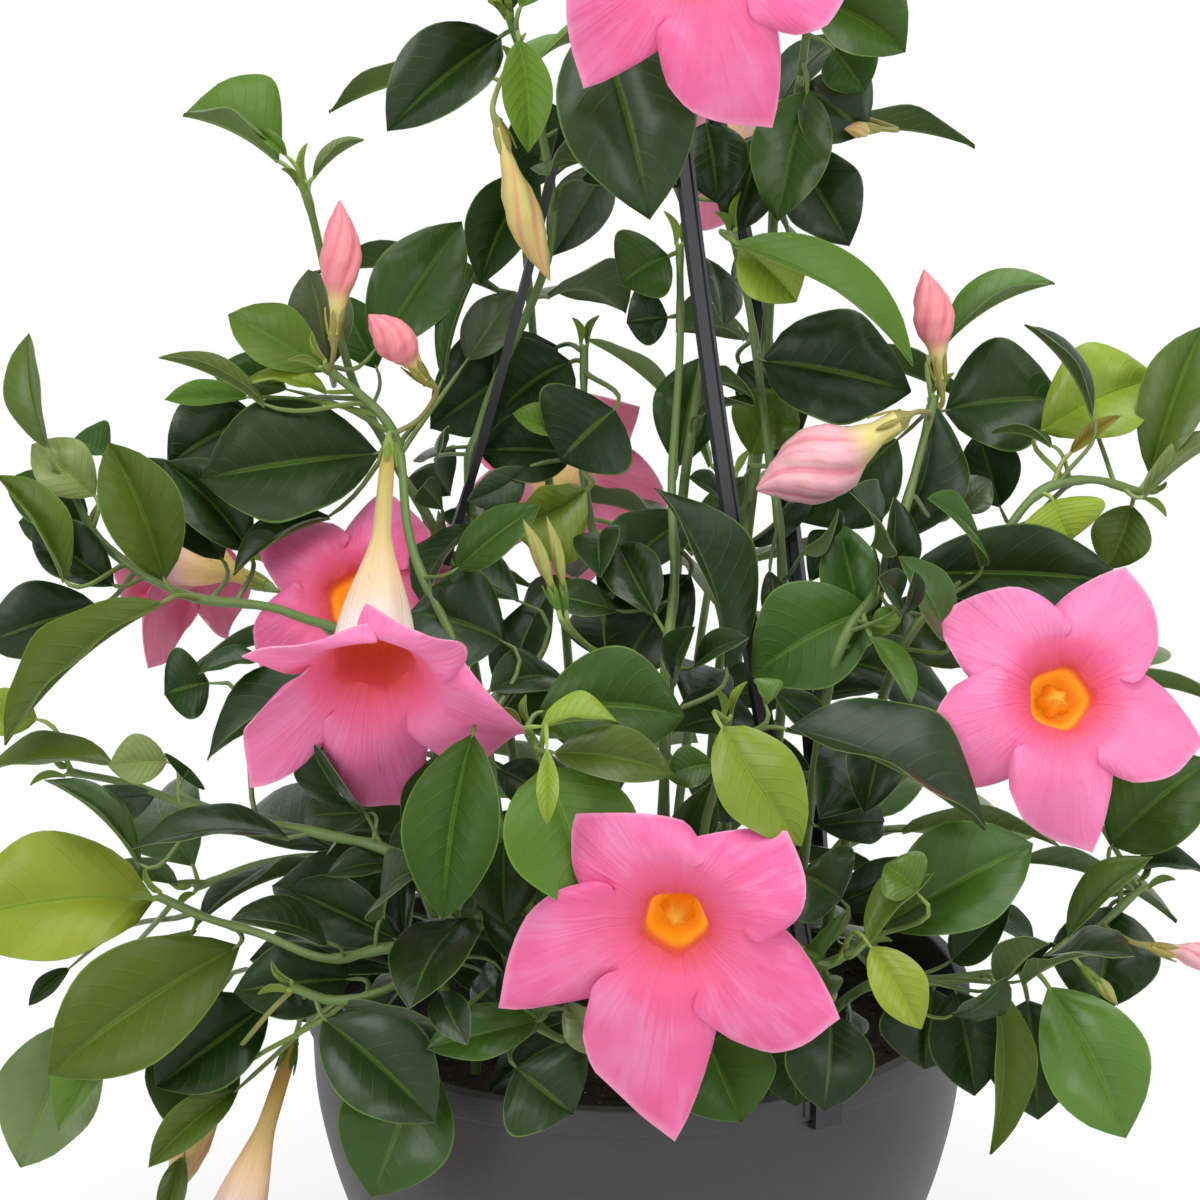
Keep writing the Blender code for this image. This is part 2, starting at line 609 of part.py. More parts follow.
def build_pot(group):
    """The pot: an open bowl with a thick band round its rim."""
    band_foot = POT_HEIGHT - BAND_HEIGHT
    outer = [
        (RIM_RADIUS - 0.8 * MM, POT_HEIGHT),
        (RIM_RADIUS, POT_HEIGHT - 0.8 * MM),
        (RIM_RADIUS, band_foot),
        (RIM_RADIUS - BAND_STEP, band_foot),
        *bowl_outline(),
        (BASE_RADIUS, 0),
        (0, 0),
    ]
    inner = [(radius - WALL, max(height, FLOOR_THICKNESS)) for radius, height in reversed(bowl_outline())]
    outline = [(0, FLOOR_THICKNESS), *inner, (RIM_RADIUS - BAND_STEP - WALL, band_foot),
               (RIM_RADIUS - BAND_STEP - WALL, POT_HEIGHT), *outer]
    return turned("pot", outline, group, material("pot_plastic", (0.10, 0.10, 0.11), 0.45))


def build_mix(group):
    """The potting mix: fills the bowl, a hair clear of its wall."""
    inset = WALL + SEAT_GAP * 1.5
    wall = [(radius - inset, height) for radius, height in bowl_outline() if height > FLOOR_THICKNESS]
    floor = FLOOR_THICKNESS + SEAT_GAP
    outline = [(0, MIX_LEVEL), (RIM_RADIUS - BAND_STEP - inset - 0.6 * MM, MIX_LEVEL), *wall,
               (BASE_RADIUS - inset - 2 * MM, floor), (0, floor)]
    return turned("potting_mix", outline, group, material("potting_mix", (0.05, 0.035, 0.025), 0.95))


def arm_path(bearing, bow):
    """Return a strap's middle line, from the hub down over the band and in under it, and its way across."""
    angle = math.radians(bearing)
    outward = Vector((math.sin(angle), -math.cos(angle), 0))
    rise = Vector((0, 0, 1))
    start = outward * (HUB_RADIUS + SEAT_GAP) + rise * HUB_HEIGHT
    reach = RIM_RADIUS + SEAT_GAP + ARM_THICKNESS / 2
    end = outward * reach + rise * (POT_HEIGHT + CLIP_RISE)
    line = end - start
    across = rise.cross(outward)
    swell = line.cross(across).normalized()
    if swell.dot(outward) < 0:
        swell.negate()
    points = []
    for step in range(ARM_POINTS):
        share = step / (ARM_POINTS - 1)
        points.append(start + line * share + swell * bow * math.sin(math.pi * share))
    under_band = rise * (POT_HEIGHT - BAND_HEIGHT - SEAT_GAP - ARM_THICKNESS / 2)
    points.append(outward * reach + rise * (POT_HEIGHT - BAND_HEIGHT / 2))
    points.append(outward * reach + under_band)
    points.append(outward * (RIM_RADIUS - BAND_STEP + SEAT_GAP * 2) + under_band)
    return points, across


def build_arm(name, group, finish):
    """One hanger strap: flat, bowed, and hooked round the pot's band at its foot."""
    points, across = arm_path(ARM_BEARINGS[name], ARM_BOWS[name])
    rings = []
    for index, point in enumerate(points):
        before = points[max(index - 1, 0)]
        after = points[min(index + 1, len(points) - 1)]
        along = (after - before).normalized()
        out = Vector((0, 0, 1)) if index == 0 else along.cross(across).normalized()
        width = CLIP_WIDTH if index >= ARM_POINTS else ARM_WIDTH
        rings.append([point + across * width / 2 * side + out * ARM_THICKNESS / 2 * face
                      for side, face in ((-1, -1), (-1, 1), (1, 1), (1, -1))])
    return add_object(name, to_mesh(name, loft(rings)), group, finish)


def build_hook(group, finish):
    """The hub that the straps meet in, with the hook above it."""
    hub = bpy.data.meshes.new("hub")
    build = bmesh.new()
    bmesh.ops.create_cone(build, cap_ends=True, segments=HUB_SIDES, radius1=HUB_RADIUS,
                          radius2=HUB_RADIUS, depth=HUB_THICKNESS)
    bmesh.ops.translate(build, verts=build.verts, vec=(0, 0, HUB_HEIGHT))
    build.to_mesh(hub)
    build.free()
    top = HUB_HEIGHT + HOOK_SHANK
    centre = Vector((HOOK_BEND_RADIUS, 0, top))
    path = [Vector((0, 0, HUB_HEIGHT)), Vector((0, 0, top - HUB_RADIUS))]
    for step in range(HOOK_STEPS):
        angle = math.radians(180 - step * HOOK_STEP_ANGLE)
        path.append(centre + HOOK_BEND_RADIUS * Vector((math.cos(angle), 0, math.sin(angle))))
    wire = tube(path, [HOOK_WIRE_RADIUS] * len(path), group)
    return add_object("hanger_hook", union("hanger_hook", [hub, wire], group), group, finish)


def corolla_shape(flower):
    """Return the sheet of a corolla: a funnel and, at its end, five broad lobes."""
    foot, facing, radius, length = flower["foot"], flower["facing"], flower["radius"], flower["tube"]
    right = facing.cross(Vector((0, 0, 1))).normalized()
    upward = right.cross(facing)
    steps = COROLLA_LOBES * COROLLA_STEPS
    rings = [
        [(TUBE_FOOT_RADIUS, 0)] * steps,
        [(THROAT_RADIUS, THROAT_HEIGHT * length)] * steps,
        [(radius * FLARE_REACH, length + FLARE_RISE * radius)] * steps,
        [(radius * LOBE_REACH[step % COROLLA_STEPS], length + LOBE_RISE * radius) for step in range(steps)],
    ]
    points = []
    for ring in rings:
        for step, (reach, height) in enumerate(ring):
            angle = flower["turn"] + 2 * math.pi * step / steps
            spoke = right * math.cos(angle) + upward * math.sin(angle)
            points.append(foot + facing * height + spoke * reach)
    faces = []
    for lower in range(len(rings) - 1):
        for step in range(steps):
            after = (step + 1) % steps
            start = lower * steps
            faces.append((start + step, start + after, start + steps + after, start + steps + step))
    return points, faces


def place_flowers():
    """Return each flower with its facing and the foot of its tube, in metres."""
    flowers = []
    for name, shoot, centre, facing, radius, tube_length, turn in FLOWERS:
        direction = board_direction(*facing)
        middle = board_point(*centre)
        flowers.append({"name": name, "shoot": shoot, "facing": direction, "radius": radius * MM,
                        "tube": tube_length * MM, "foot": middle - direction * tube_length * MM,
                        "turn": math.radians(turn)})
    return flowers


def build_corolla(flower, group, finish):
    """One flower: the sheet of its corolla with a thickness, open at the throat and at its foot."""
    item = add_object(flower["name"], to_mesh(flower["name"], corolla_shape(flower)), group, finish)
    sheet = item.modifiers.new("sheet", "SOLIDIFY")
    sheet.thickness = COROLLA_SHEET
    sheet.offset = 0
    sheet.use_quality_normals = True
    return item


def bud_shape(foot, tip, radius):
    """Return a closed bud: a narrow neck that swells and comes to a point."""
    axis = (tip - foot).normalized()
    length = (tip - foot).length
    side = axis.orthogonal().normalized()
    other = axis.cross(side)
    rings = []
    for share, spread in BUD_OUTLINE:
        ring = []
        for step in range(BUD_SIDES):
            angle = 2 * math.pi * step / BUD_SIDES
            spoke = side * math.cos(angle) + other * math.sin(angle)
            ring.append(foot + axis * length * share + spoke * radius * spread)
        rings.append(ring)
    return loft(rings, tip)


def stem_path(root_x, root_y, points):
    """Return a stem's path: straight up out of the mix, then a smooth curve through the points."""
    root = Vector((root_x, root_y, MIX_LEVEL + SEAT_GAP))
    return [root, *smooth_path([root + Vector((0, 0, ROOT_RISE)), *points], STEM_POINTS)]


def grown_leaf(start, direction, outward, length, width):
    """Return a leaf that grows by rule from a point of a stem."""
    base = start + direction * GROWN_STALK
    return {"base": base, "tip": base + (direction - Vector((0, 0, GROWN_DROOP))).normalized() * length,
            "width": width, "facing": (outward * 0.6 + Vector((0, 0, 1))).normalized(),
            "fold": GROWN_FOLD}


def inner_leaf(name, path):
    """Return a leaf low on a front shoot, inside the plant."""
    rng = random.Random(name)
    start = path[1].lerp(path[2], rng.random())
    outward = Vector((start.x, start.y, 0)).normalized()
    across = Vector((0, 0, 1)).cross(outward)
    direction = outward * rng.uniform(-0.3, 0.5) - across + Vector((0, 0, rng.uniform(0, 0.6)))
    return grown_leaf(start, direction.normalized(), outward, *INNER_LEAF_SIZE)


def front_shoots():
    """Return every shoot that the layout gives, with its stem and its leaves in metres."""
    shoots = {}
    for name, root, stem, leaves in SHOOTS:
        path = stem_path(root[0] * MM, root[1] * MM, [board_point(*point) for point in stem])
        placed = []
        for base_x, base_up, tip_x, tip_up, width, facing, fold, layer in leaves:
            front = foliage_front((base_x + tip_x) / 2, (base_up + tip_up) / 2) - LAYER_DEPTH * layer
            lean = -LEAF_LEAN * (tip_up - base_up)
            placed.append({
                "base": (base_x, base_up, front - lean), "tip": (tip_x, tip_up, front + lean),
                "width": width * MM, "facing": board_direction(*FACINGS[facing]), "fold": math.radians(fold),
            })
        shoots[name] = {"path": path, "leaves": [*placed, inner_leaf(name, path)]}
    return shoots


def back_shoots():
    """Return the shoots round the back, whose leaves grow in pairs, each turned from the last."""
    shoots = {}
    for name, (bearing, profile, count) in BACK_SHOOTS.items():
        rng = random.Random(name)
        angle = math.radians(bearing)
        outward = Vector((math.sin(angle), -math.cos(angle), 0))
        across = Vector((0, 0, 1)).cross(outward)
        root = outward * BACK_ROOT_RADIUS
        points = stem_path(root.x, root.y, [outward * radius * MM + Vector((0, 0, height * MM))
                                            for radius, height in profile])
        leaves = []
        for index in range(count):
            share = 1 - BACK_LEAFY_SHARE * (index // 2) / (count // 2 - 1)
            along = share * (len(points) - 1)
            span = min(int(along), len(points) - 2)
            start = points[span].lerp(points[span + 1], min(along - span, 0.94))
            hand = 1 if index % 2 else -1
            spread = across * hand * 0.8 + outward * rng.uniform(0.35, 0.8)
            lift = Vector((0, 0, rng.uniform(-0.1, 0.4)))
            scale = rng.uniform(0.85, 1.1)
            length, width = (size * scale for size in BACK_LEAF_SIZE)
            leaves.append(grown_leaf(start, (spread + lift).normalized(), outward, length, width))
        shoots[name] = {"path": points, "leaves": leaves}
    return shoots


def try_leaf(path, leaf, clearing, own, taken):
    """Return the leaf's shape and foot at the first depth or turn where it touches nothing, or None."""
    for shift in LEAF_SHIFTS:
        if isinstance(leaf["base"], tuple):
            base = board_point(leaf["base"][0], leaf["base"][1], leaf["base"][2] + shift)
            tip = board_point(leaf["tip"][0], leaf["tip"][1], leaf["tip"][2] + shift)
        else:
            base = leaf["base"]
            tip = leaf["tip"] + Vector((0, 0, shift * MM))
        axis = (tip - base).normalized()
        foot = nearest_on_path(path, base - axis * STALK_LEAD, taken)
        short = STALK_LEAD / 2 - (base - foot).dot(axis)
        base += axis * max(short, 0)
        shape = leaf_shape(foot, base, tip, leaf["facing"], leaf["width"], leaf["fold"])
        if not crosses_itself(shape) and clearing.is_clear(shape, own):
            return shape, foot
    return None


def flower_stalk(path, end, direction, group):
    """Return the mesh of a stalk from the stem to a flower's calyx, which ends just short of its foot."""
    seat = end - direction * SEAT_GAP
    below = seat - direction * CALYX_LENGTH
    foot = nearest_on_path(path[2:], below)
    middle = foot.lerp(below, 0.5) - direction * CALYX_SAG
    radii = [FLOWER_STALK_RADIUS] * 3 + [CALYX_RADIUS]
    return tube([foot, middle, below, seat], radii, group)


def build_stems(shoots, ends, clearing, group):
    """Return the meshes of every shoot's stem and of the stalks to its flowers and buds."""
    solids = {}
    for name, shoot in shoots.items():
        path = shoot["path"]
        taper = (STEM_TIP_RADIUS - STEM_RADIUS) / (len(path) - 1)
        solids[name] = [tube(path, [STEM_RADIUS + taper * index for index in range(len(path))], group)]
        for end, direction in ends.get(name, []):
            solids[name].append(flower_stalk(path, end, direction, group))
        for mesh in solids[name]:
            clearing.add(name, to_shape(mesh))
    return solids


def add_leaves(shoots, solids, clearing):
    """Add the mesh of each leaf to its shoot's, where it finds a place clear of every other piece."""
    for name, shoot in shoots.items():
        taken = []
        for leaf in shoot["leaves"]:
            found = try_leaf(shoot["path"], leaf, clearing, name, taken)
            if found:
                shape, foot = found
                taken.append(foot)
                clearing.add(name, shape)
                solids[name].append(to_mesh(name, shape))


def main():
    """Build the potted plant: pot, mix, hanger, then flowers, buds and shoots clear of one another."""
    clear_scene()
    group = new_collection("potted_mandevilla")
    hanger_finish = material("hanger_plastic", (0.07, 0.07, 0.08), 0.4)
    petal_finish = material("petal", (0.95, 0.33, 0.55), 0.5)
    bud_finish = material("bud", (0.93, 0.50, 0.58), 0.5)
    leaf_finish = material("foliage", (0.10, 0.22, 0.06), 0.4)
    clearing = Clearing()

    fixed = [build_pot(group), build_mix(group), build_hook(group, hanger_finish)]
    fixed += [build_arm(name, group, hanger_finish) for name in ARM_BEARINGS]
    flowers = place_flowers()
    fixed += [build_corolla(flower, group, petal_finish) for flower in flowers]
    graph = bpy.context.evaluated_depsgraph_get()
    for item in fixed:
        clearing.add(item.name, to_shape(item.evaluated_get(graph).to_mesh()))

    ends = {}
    for flower in flowers:
        ends.setdefault(flower["shoot"], []).append((flower["foot"], flower["facing"]))
    for name, shoot, foot, tip, radius in BUDS:
        foot, tip = board_point(*foot), board_point(*tip)
        shape = bud_shape(foot, tip, radius * MM)
        add_object(name, to_mesh(name, shape), group, bud_finish)
        clearing.add(name, shape)
        ends.setdefault(shoot, []).append((foot, (tip - foot).normalized()))

    shoots = {**front_shoots(), **back_shoots()}
    solids = build_stems(shoots, ends, clearing, group)
    add_leaves(shoots, solids, clearing)
    for name, meshes in solids.items():
        add_object(name, union(name, meshes, group), group, leaf_finish)


if __name__ == "__main__":
    main()
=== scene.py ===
"""Potted mandevilla: the looks of a flowering climber in a plastic hanging pot, built round its frame.

Metres, +Z up, with -Y the front. The foliage is laid out in millimetres on a board through the middle of
the pot's rim: x to the right, up to the top, as someone who stands in front and looks down on it would
draw it. A front distance says how far a point stands in front of the pot's axis.
"""

from __future__ import annotations

import itertools
import logging
import math
import random
from dataclasses import dataclass, field, replace
from enum import Enum
from typing import Iterable, Iterator, Mapping, Sequence

import bpy
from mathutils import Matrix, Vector, noise
from mathutils.bvhtree import BVHTree


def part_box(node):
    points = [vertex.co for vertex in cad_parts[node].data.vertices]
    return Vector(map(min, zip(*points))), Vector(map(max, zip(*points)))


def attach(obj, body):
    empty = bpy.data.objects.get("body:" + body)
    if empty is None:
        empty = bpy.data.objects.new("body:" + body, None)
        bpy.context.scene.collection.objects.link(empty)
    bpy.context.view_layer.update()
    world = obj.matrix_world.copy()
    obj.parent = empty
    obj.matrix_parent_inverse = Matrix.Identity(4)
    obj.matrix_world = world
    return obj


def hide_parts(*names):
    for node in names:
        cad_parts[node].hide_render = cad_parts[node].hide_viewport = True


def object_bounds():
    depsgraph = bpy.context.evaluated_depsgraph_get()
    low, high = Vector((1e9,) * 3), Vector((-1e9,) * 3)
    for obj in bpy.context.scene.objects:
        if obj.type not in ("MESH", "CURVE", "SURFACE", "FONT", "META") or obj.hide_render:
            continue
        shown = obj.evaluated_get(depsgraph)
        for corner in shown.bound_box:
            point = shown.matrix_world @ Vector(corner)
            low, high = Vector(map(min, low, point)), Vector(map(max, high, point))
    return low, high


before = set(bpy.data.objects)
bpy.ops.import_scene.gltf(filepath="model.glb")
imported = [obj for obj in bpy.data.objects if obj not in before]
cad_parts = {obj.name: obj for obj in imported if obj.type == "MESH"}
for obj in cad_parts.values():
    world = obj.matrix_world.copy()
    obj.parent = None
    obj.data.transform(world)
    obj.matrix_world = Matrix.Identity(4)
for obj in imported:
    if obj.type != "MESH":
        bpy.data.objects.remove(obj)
CAD_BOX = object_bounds()
LOG = logging.getLogger("potted_mandevilla")

MM = 0.001
UP = Vector((0, 0, 1))
TURN = 2 * math.pi
WHITE = (1.0, 1.0, 1.0)
BLACK = (0.0, 0.0, 0.0)

Material = bpy.types.Material
Piece = bpy.types.Object
Face = tuple[int, ...]
Cell = tuple[int, ...]
Shape = tuple[list[Vector], list[Face]]
Colour = tuple[float, float, float]
Pair = tuple[float, float]
Row = tuple


# ---- Shader maths ----


class Value:
    """A socket of a shader graph whose arithmetic adds Math nodes."""

    def __init__(self, graph: Graph, socket: bpy.types.NodeSocket) -> None:
        """Wrap an output socket of a graph."""
        self.graph = graph
        self.socket = socket

    def math(self, operation: str, *operands: Value | float) -> Value:
        """Return a Math node's result on numbers and sockets."""
        return self.graph.node("ShaderNodeMath", {"operation": operation}, dict(enumerate(operands)))

    def __add__(self, other: Value | float) -> Value:
        """Return self + other."""
        return self.math("ADD", self, other)

    def __radd__(self, other: float) -> Value:
        """Return other + self."""
        return self.math("ADD", other, self)

    def __sub__(self, other: Value | float) -> Value:
        """Return self - other."""
        return self.math("SUBTRACT", self, other)

    def __rsub__(self, other: float) -> Value:
        """Return other - self."""
        return self.math("SUBTRACT", other, self)

    def __mul__(self, other: Value | float) -> Value:
        """Return self * other."""
        return self.math("MULTIPLY", self, other)

    def __rmul__(self, other: float) -> Value:
        """Return other * self."""
        return self.math("MULTIPLY", other, self)

    def __pow__(self, other: Value | float) -> Value:
        """Return self to the power other."""
        return self.math("POWER", self, other)

    def __abs__(self) -> Value:
        """Return the size of self without its sign."""
        return self.math("ABSOLUTE", self)

    def fraction(self) -> Value:
        """Return the part of self after the point."""
        return self.math("FRACT", self)

    def rise(self, low: float, high: float) -> Value:
        """Return a smooth step from 0 at low to 1 at high, or one that falls where high is below low."""
        sockets = {"Value": self, "From Min": low, "From Max": high}
        return self.graph.node("ShaderNodeMapRange", {"interpolation_type": "SMOOTHSTEP"}, sockets)


class Graph:
    """The shader graph of one material, or of the world."""

    def __init__(self, name: str, world: bpy.types.World | None = None) -> None:
        """Start an empty graph, in a new material or in the world.

        Args:
            name: The material's name.
            world: The world, where the graph is its own.
        """
        self.material = bpy.data.materials.new(name) if world is None else None
        owner = world or self.material
        owner.use_nodes = True
        self.tree = owner.node_tree
        self.tree.nodes.clear()

    def node(self, kind: str, settings: Mapping[str, object] | None = None,
             sockets: Mapping[str | int, object] | None = None, out: str | int = 0) -> Value:
        """Add a node of any type.

        Args:
            kind: The node's type.
            settings: Its own settings, which are set first. "stops" holds a ramp's (place, colour) pairs.
            sockets: The values or links of its input sockets, by name or number.
            out: Which output to return.

        Returns:
            The chosen output, or the first input of a node that has none.
        """
        made = self.tree.nodes.new(kind)
        for key, value in (settings or {}).items():
            if key == "stops":
                ramp = made.color_ramp
                while len(ramp.elements) < len(value):
                    ramp.elements.new(0.5)
                for element, (place, colour) in zip(ramp.elements, value):
                    element.position = place
                    element.color = (*colour, 1)
            else:
                setattr(made, key, value)
        for key, value in (sockets or {}).items():
            if isinstance(value, Value):
                self.tree.links.new(value.socket, made.inputs[key])
            else:
                made.inputs[key].default_value = value
        return Value(self, made.outputs[out] if made.outputs else made.inputs[0])

    def ramp(self, place: Value, stops: Sequence[tuple[float, Colour]]) -> Value:
        """Return the colour at a place of a ramp, whose stops are (place, colour) pairs."""
        return self.node("ShaderNodeValToRGB", {"stops": stops}, {0: place})

    def mix(self, share: Value | float, first: Value | Colour, second: Value | Colour) -> Value:
        """Return a mix of two colours that has this share of the second."""
        ends = [(*end, 1) if isinstance(end, tuple) else end for end in (first, second)]
        return self.node("ShaderNodeMix", {"data_type": "RGBA"}, {0: share, 6: ends[0], 7: ends[1]}, out=2)

    def attribute(self, name: str, out: str = "Vector") -> Value:
        """Return a mesh attribute by its name."""
        return self.node("ShaderNodeAttribute", {"attribute_name": name}, out=out)

    def parts(self, vector: Value) -> list[Value]:
        """Return the X, Y and Z of a vector."""
        split = self.node("ShaderNodeSeparateXYZ", None, {0: vector})
        return [Value(self, output) for output in split.socket.node.outputs]

    def vector(self, x: Value | float, y: Value | float, z: Value | float) -> Value:
        """Return a vector made of three numbers."""
        return self.node("ShaderNodeCombineXYZ", None, {0: x, 1: y, 2: z})

    def place(self) -> Value:
        """Return the point of the surface in the piece's own metres."""
        return self.node("ShaderNodeTexCoord", None, None, out="Object")

    def noise(self, where: Value, scale: float, detail: float = 3.0, roughness: float = 0.55) -> Value:
        """Return a noise from 0 to 1, with more or fewer finer layers (detail) of more or less strength."""
        sockets = {"Vector": where, "Scale": scale, "Detail": detail, "Roughness": roughness}
        return self.node("ShaderNodeTexNoise", None, sockets)

    def bump(self, height: Value, distance: float) -> Value:
        """Return a normal that follows a height, whose 1 is this distance in metres."""
        return self.node("ShaderNodeBump", None, {"Height": height, "Distance": distance})

    def finish(self, sockets: Mapping[str, object], through: tuple[float, Colour] | None = None) -> Material:
        """Close the graph with a Principled shader.

        Args:
            sockets: The shader's values and links.
            through: The share of the light that passes through a thin sheet, and its colour there.

        Returns:
            The material.
        """
        shader = self.node("ShaderNodeBsdfPrincipled", None, sockets)
        if through:
            share, colour = through
            sheet = self.node("ShaderNodeBsdfTranslucent", None, {"Color": (*colour, 1)})
            shader = self.node("ShaderNodeMixShader", None, {0: share, 1: shader, 2: sheet})
        return self.show(shader)

    def show(self, shader: Value) -> Material:
        """Put a shader on the surface and return the material. Its glow is seen, but isn't a lamp."""
        self.node("ShaderNodeOutputMaterial", None, {"Surface": shader})
        self.material.cycles.emission_sampling = "NONE"
        return self.material


# ---- Finishes ----


class Tone(Enum):
    """The green of a leaf's upper face, as linear red, green and blue. DARK partly paints shade, GREY sheen.
    """

    # DARK is a deep green, kept dark enough that it also paints the shade on leaves deep in the plant or
    # behind others.
    DARK = (0.010, 0.034, 0.003)
    DULL = (0.021, 0.052, 0.009)
    GLOSS = (0.013, 0.037, 0.007)
    MID = (0.036, 0.096, 0.008)
    OLIVE = (0.085, 0.142, 0.013)
    LIGHT = (0.120, 0.235, 0.022)
    LIME = (0.265, 0.375, 0.034)
    PALE = (0.210, 0.290, 0.095)
    # GREY is a grey green, partly a leaf's paler underside and partly painted sheen.
    GREY = (0.085, 0.120, 0.060)
    BRONZE = (0.290, 0.270, 0.050)


@dataclass(frozen=True)
class BladeFinish:
    """The face of a leaf: its tint, a pale midrib and side veins, a thin pale margin and a waxy gloss.

    It reads two mesh attributes: "blade", which holds how far along the leaf a point lies, how far across
    from the midrib (-1 to 1) and the leaf's own number, and "tint", the leaf's colour.
    """

    name: str
    vein_colour: Colour
    vein_strength: float
    bloom_colour: Colour
    bloom: float
    roughness: float
    coat: float
    relief: float
    midrib_strength: float
    specular: float
    vein_pairs: float = 9.0

    def make(self) -> Material:
        """Return the material."""
        graph = Graph(self.name)
        along, across, number = graph.parts(graph.attribute("blade"))
        side = abs(across)
        tint = graph.attribute("tint", out="Color")
        where = graph.place()
        mottle = graph.noise(where, 60, 4)
        patches = graph.noise(where, 14, 2)

        slant = along * self.vein_pairs - side ** 1.25 * 2.4 + number * 5.0
        beat = abs(slant.fraction() - 0.5)
        vein = beat.rise(0.10, 0.0) * side.rise(1.0, 0.72) * along.rise(0.0, 0.1)
        midrib = side.rise(0.065, 0.015) * along.rise(1.02, 0.7)
        margin = side.rise(0.955, 0.99)

        dark = graph.mix((patches - 0.35) * 0.7, tint, (0.0, 0.008, 0.0))
        shade = graph.mix((mottle - 0.4) * 0.30, dark, self.bloom_colour)
        shade = graph.mix(self.bloom, shade, self.bloom_colour)
        shade = graph.mix(vein * self.vein_strength * 0.5, shade, self.vein_colour)
        shade = graph.mix(margin * 0.45, shade, self.vein_colour)
        shade = graph.mix(midrib * self.midrib_strength, shade, self.vein_colour)
        shine = (number * 7.0).fraction()
        rough = mottle * 0.22 + (self.roughness - 0.06) + patches * 0.08 - shine * 0.10
        height = graph.noise(where, 75, 2) * 1.6 - vein * 0.12 - midrib * 0.3 + beat * 0.14
        return graph.finish({
            "Base Color": shade, "Roughness": rough, "Coat Weight": shine * self.coat, "Coat Roughness": 0.25,
            "Specular IOR Level": self.specular, "Normal": graph.bump(height, self.relief),
        }, (0.10, (0.22, 0.42, 0.04)))


@dataclass(frozen=True)
class StemFinish:
    """The skin of stems, leaf stalks and calyces: the tint, with brown streaks along the stem."""

    name: str = "stem_skin"
    streak_colour: Colour = (0.11, 0.055, 0.022)
    streaks: float = 0.55
    roughness: float = 0.46

    def make(self) -> Material:
        """Return the material."""
        graph = Graph(self.name)
        tint = graph.attribute("tint", out="Color")
        along, _, _ = graph.parts(graph.attribute("blade"))
        where = graph.place()
        streak = graph.noise(where, 90, 4, 0.65)
        share = streak.rise(0.5, 0.75) * self.streaks * along
        colour = graph.mix(share, tint, self.streak_colour)
        fine = graph.noise(where, 900, 2)
        return graph.finish({
            "Base Color": colour, "Roughness": fine * 0.2 + (self.roughness - 0.1),
            "Normal": graph.bump(streak * 0.5 + fine * 0.3, 0.0005),
        })


@dataclass(frozen=True)
class PetalFinish:
    """The sheet of a corolla. Fine veins run outward, and the lobes are mottled and paler at their edges; the
    mottling holds patches of painted light and painted shade, and the throat has a painted glow.

    It reads "blade", which holds how far a point lies from the foot, 0 to 1 in the tube and 1 to 2 out to
    the tips of the lobes, and the cosine and sine of its angle round the flower. "tint" holds how pale the
    flower is.
    """

    name: str
    stops: Sequence[tuple[float, Colour]]
    # The veins' colour, which also paints darker patches of shade on the lobes.
    vein_colour: Colour
    veins: float
    # A pale pink: the lighter streaks, each flower's paleness and the patches of painted light use it.
    light: Colour
    # The colour of the throat's painted glow, which stands in for light that comes through the tube's wall.
    glow: Colour
    roughness: float = 0.52

    def make(self) -> Material:
        """Return the material."""
        graph = Graph(self.name)
        reach, cosine, sine = graph.parts(graph.attribute("blade"))
        where = graph.place()
        wobble = graph.noise(where, 120, 3)
        colour = graph.ramp((reach + wobble * 0.07 - 0.035) * 0.5, self.stops)
        limb = reach.rise(1.12, 1.4)
        streak = graph.noise(self.fan(graph, reach * 1.6, cosine * 7.0, sine * 7.0), 1.0, 4, 0.6)
        colour = graph.mix(streak.rise(0.46, 0.68) * limb * 0.42, colour, self.light)
        # Painted light: lighter patches of the pale pink on the lobes.
        patch = graph.noise(where, 38, 2)
        colour = graph.mix(patch.rise(0.42, 0.72) * limb * 0.5, colour, self.light)
        # Painted shade: darker patches in the veins' colour on the lobes, for the shade in their folds.
        shadow = graph.noise(self.fan(graph, reach * 1.1, cosine * 2.6, sine * 2.6), 1.0, 2)
        colour = graph.mix(shadow.rise(0.50, 0.72) * limb * 0.42, colour, self.vein_colour)
        thread = graph.noise(self.fan(graph, reach * 1.2, cosine * 24.0, sine * 24.0), 1.0, 2)
        colour = graph.mix(thread.rise(0.56, 0.7) * limb * self.veins, colour, self.vein_colour)
        paleness = graph.parts(graph.attribute("tint", out="Color"))[0]
        colour = graph.mix(paleness * limb, colour, self.light)
        edge = reach.rise(1.93, 1.99)
        colour = graph.mix(edge * 0.35, colour, (1.0, 0.62, 0.78))
        crinkle = graph.noise(where, 260, 3)
        height = thread * 0.8 + streak * 0.8 + crinkle * 0.5
        return graph.finish({
            "Base Color": colour, "Roughness": crinkle * 0.2 + (self.roughness - 0.1),
            # Painted glow: the emission gives the throat orange light of its own, for light that comes
            # through the tube's wall.
            "Sheen Weight": 0.15, "Sheen Roughness": 0.4, "Emission Strength": 1.0,
            "Emission Color": graph.mix(reach.rise(0.93, 0.80), BLACK, self.glow),
            "Normal": graph.bump(height, 0.0006),
        }, (0.22, (1.0, 0.30, 0.50)))

    @staticmethod
    def fan(graph: Graph, outward: Value, cosine: Value, sine: Value) -> Value:
        """Return where to read a pattern that runs outward along the lobes and differs on each flower."""
        drift = graph.node("ShaderNodeVectorMath", {"operation": "SCALE"}, {0: graph.place(), "Scale": 16.0})
        spread = graph.vector(outward, cosine, sine)
        return graph.node("ShaderNodeVectorMath", {"operation": "ADD"}, {0: drift, 1: spread})


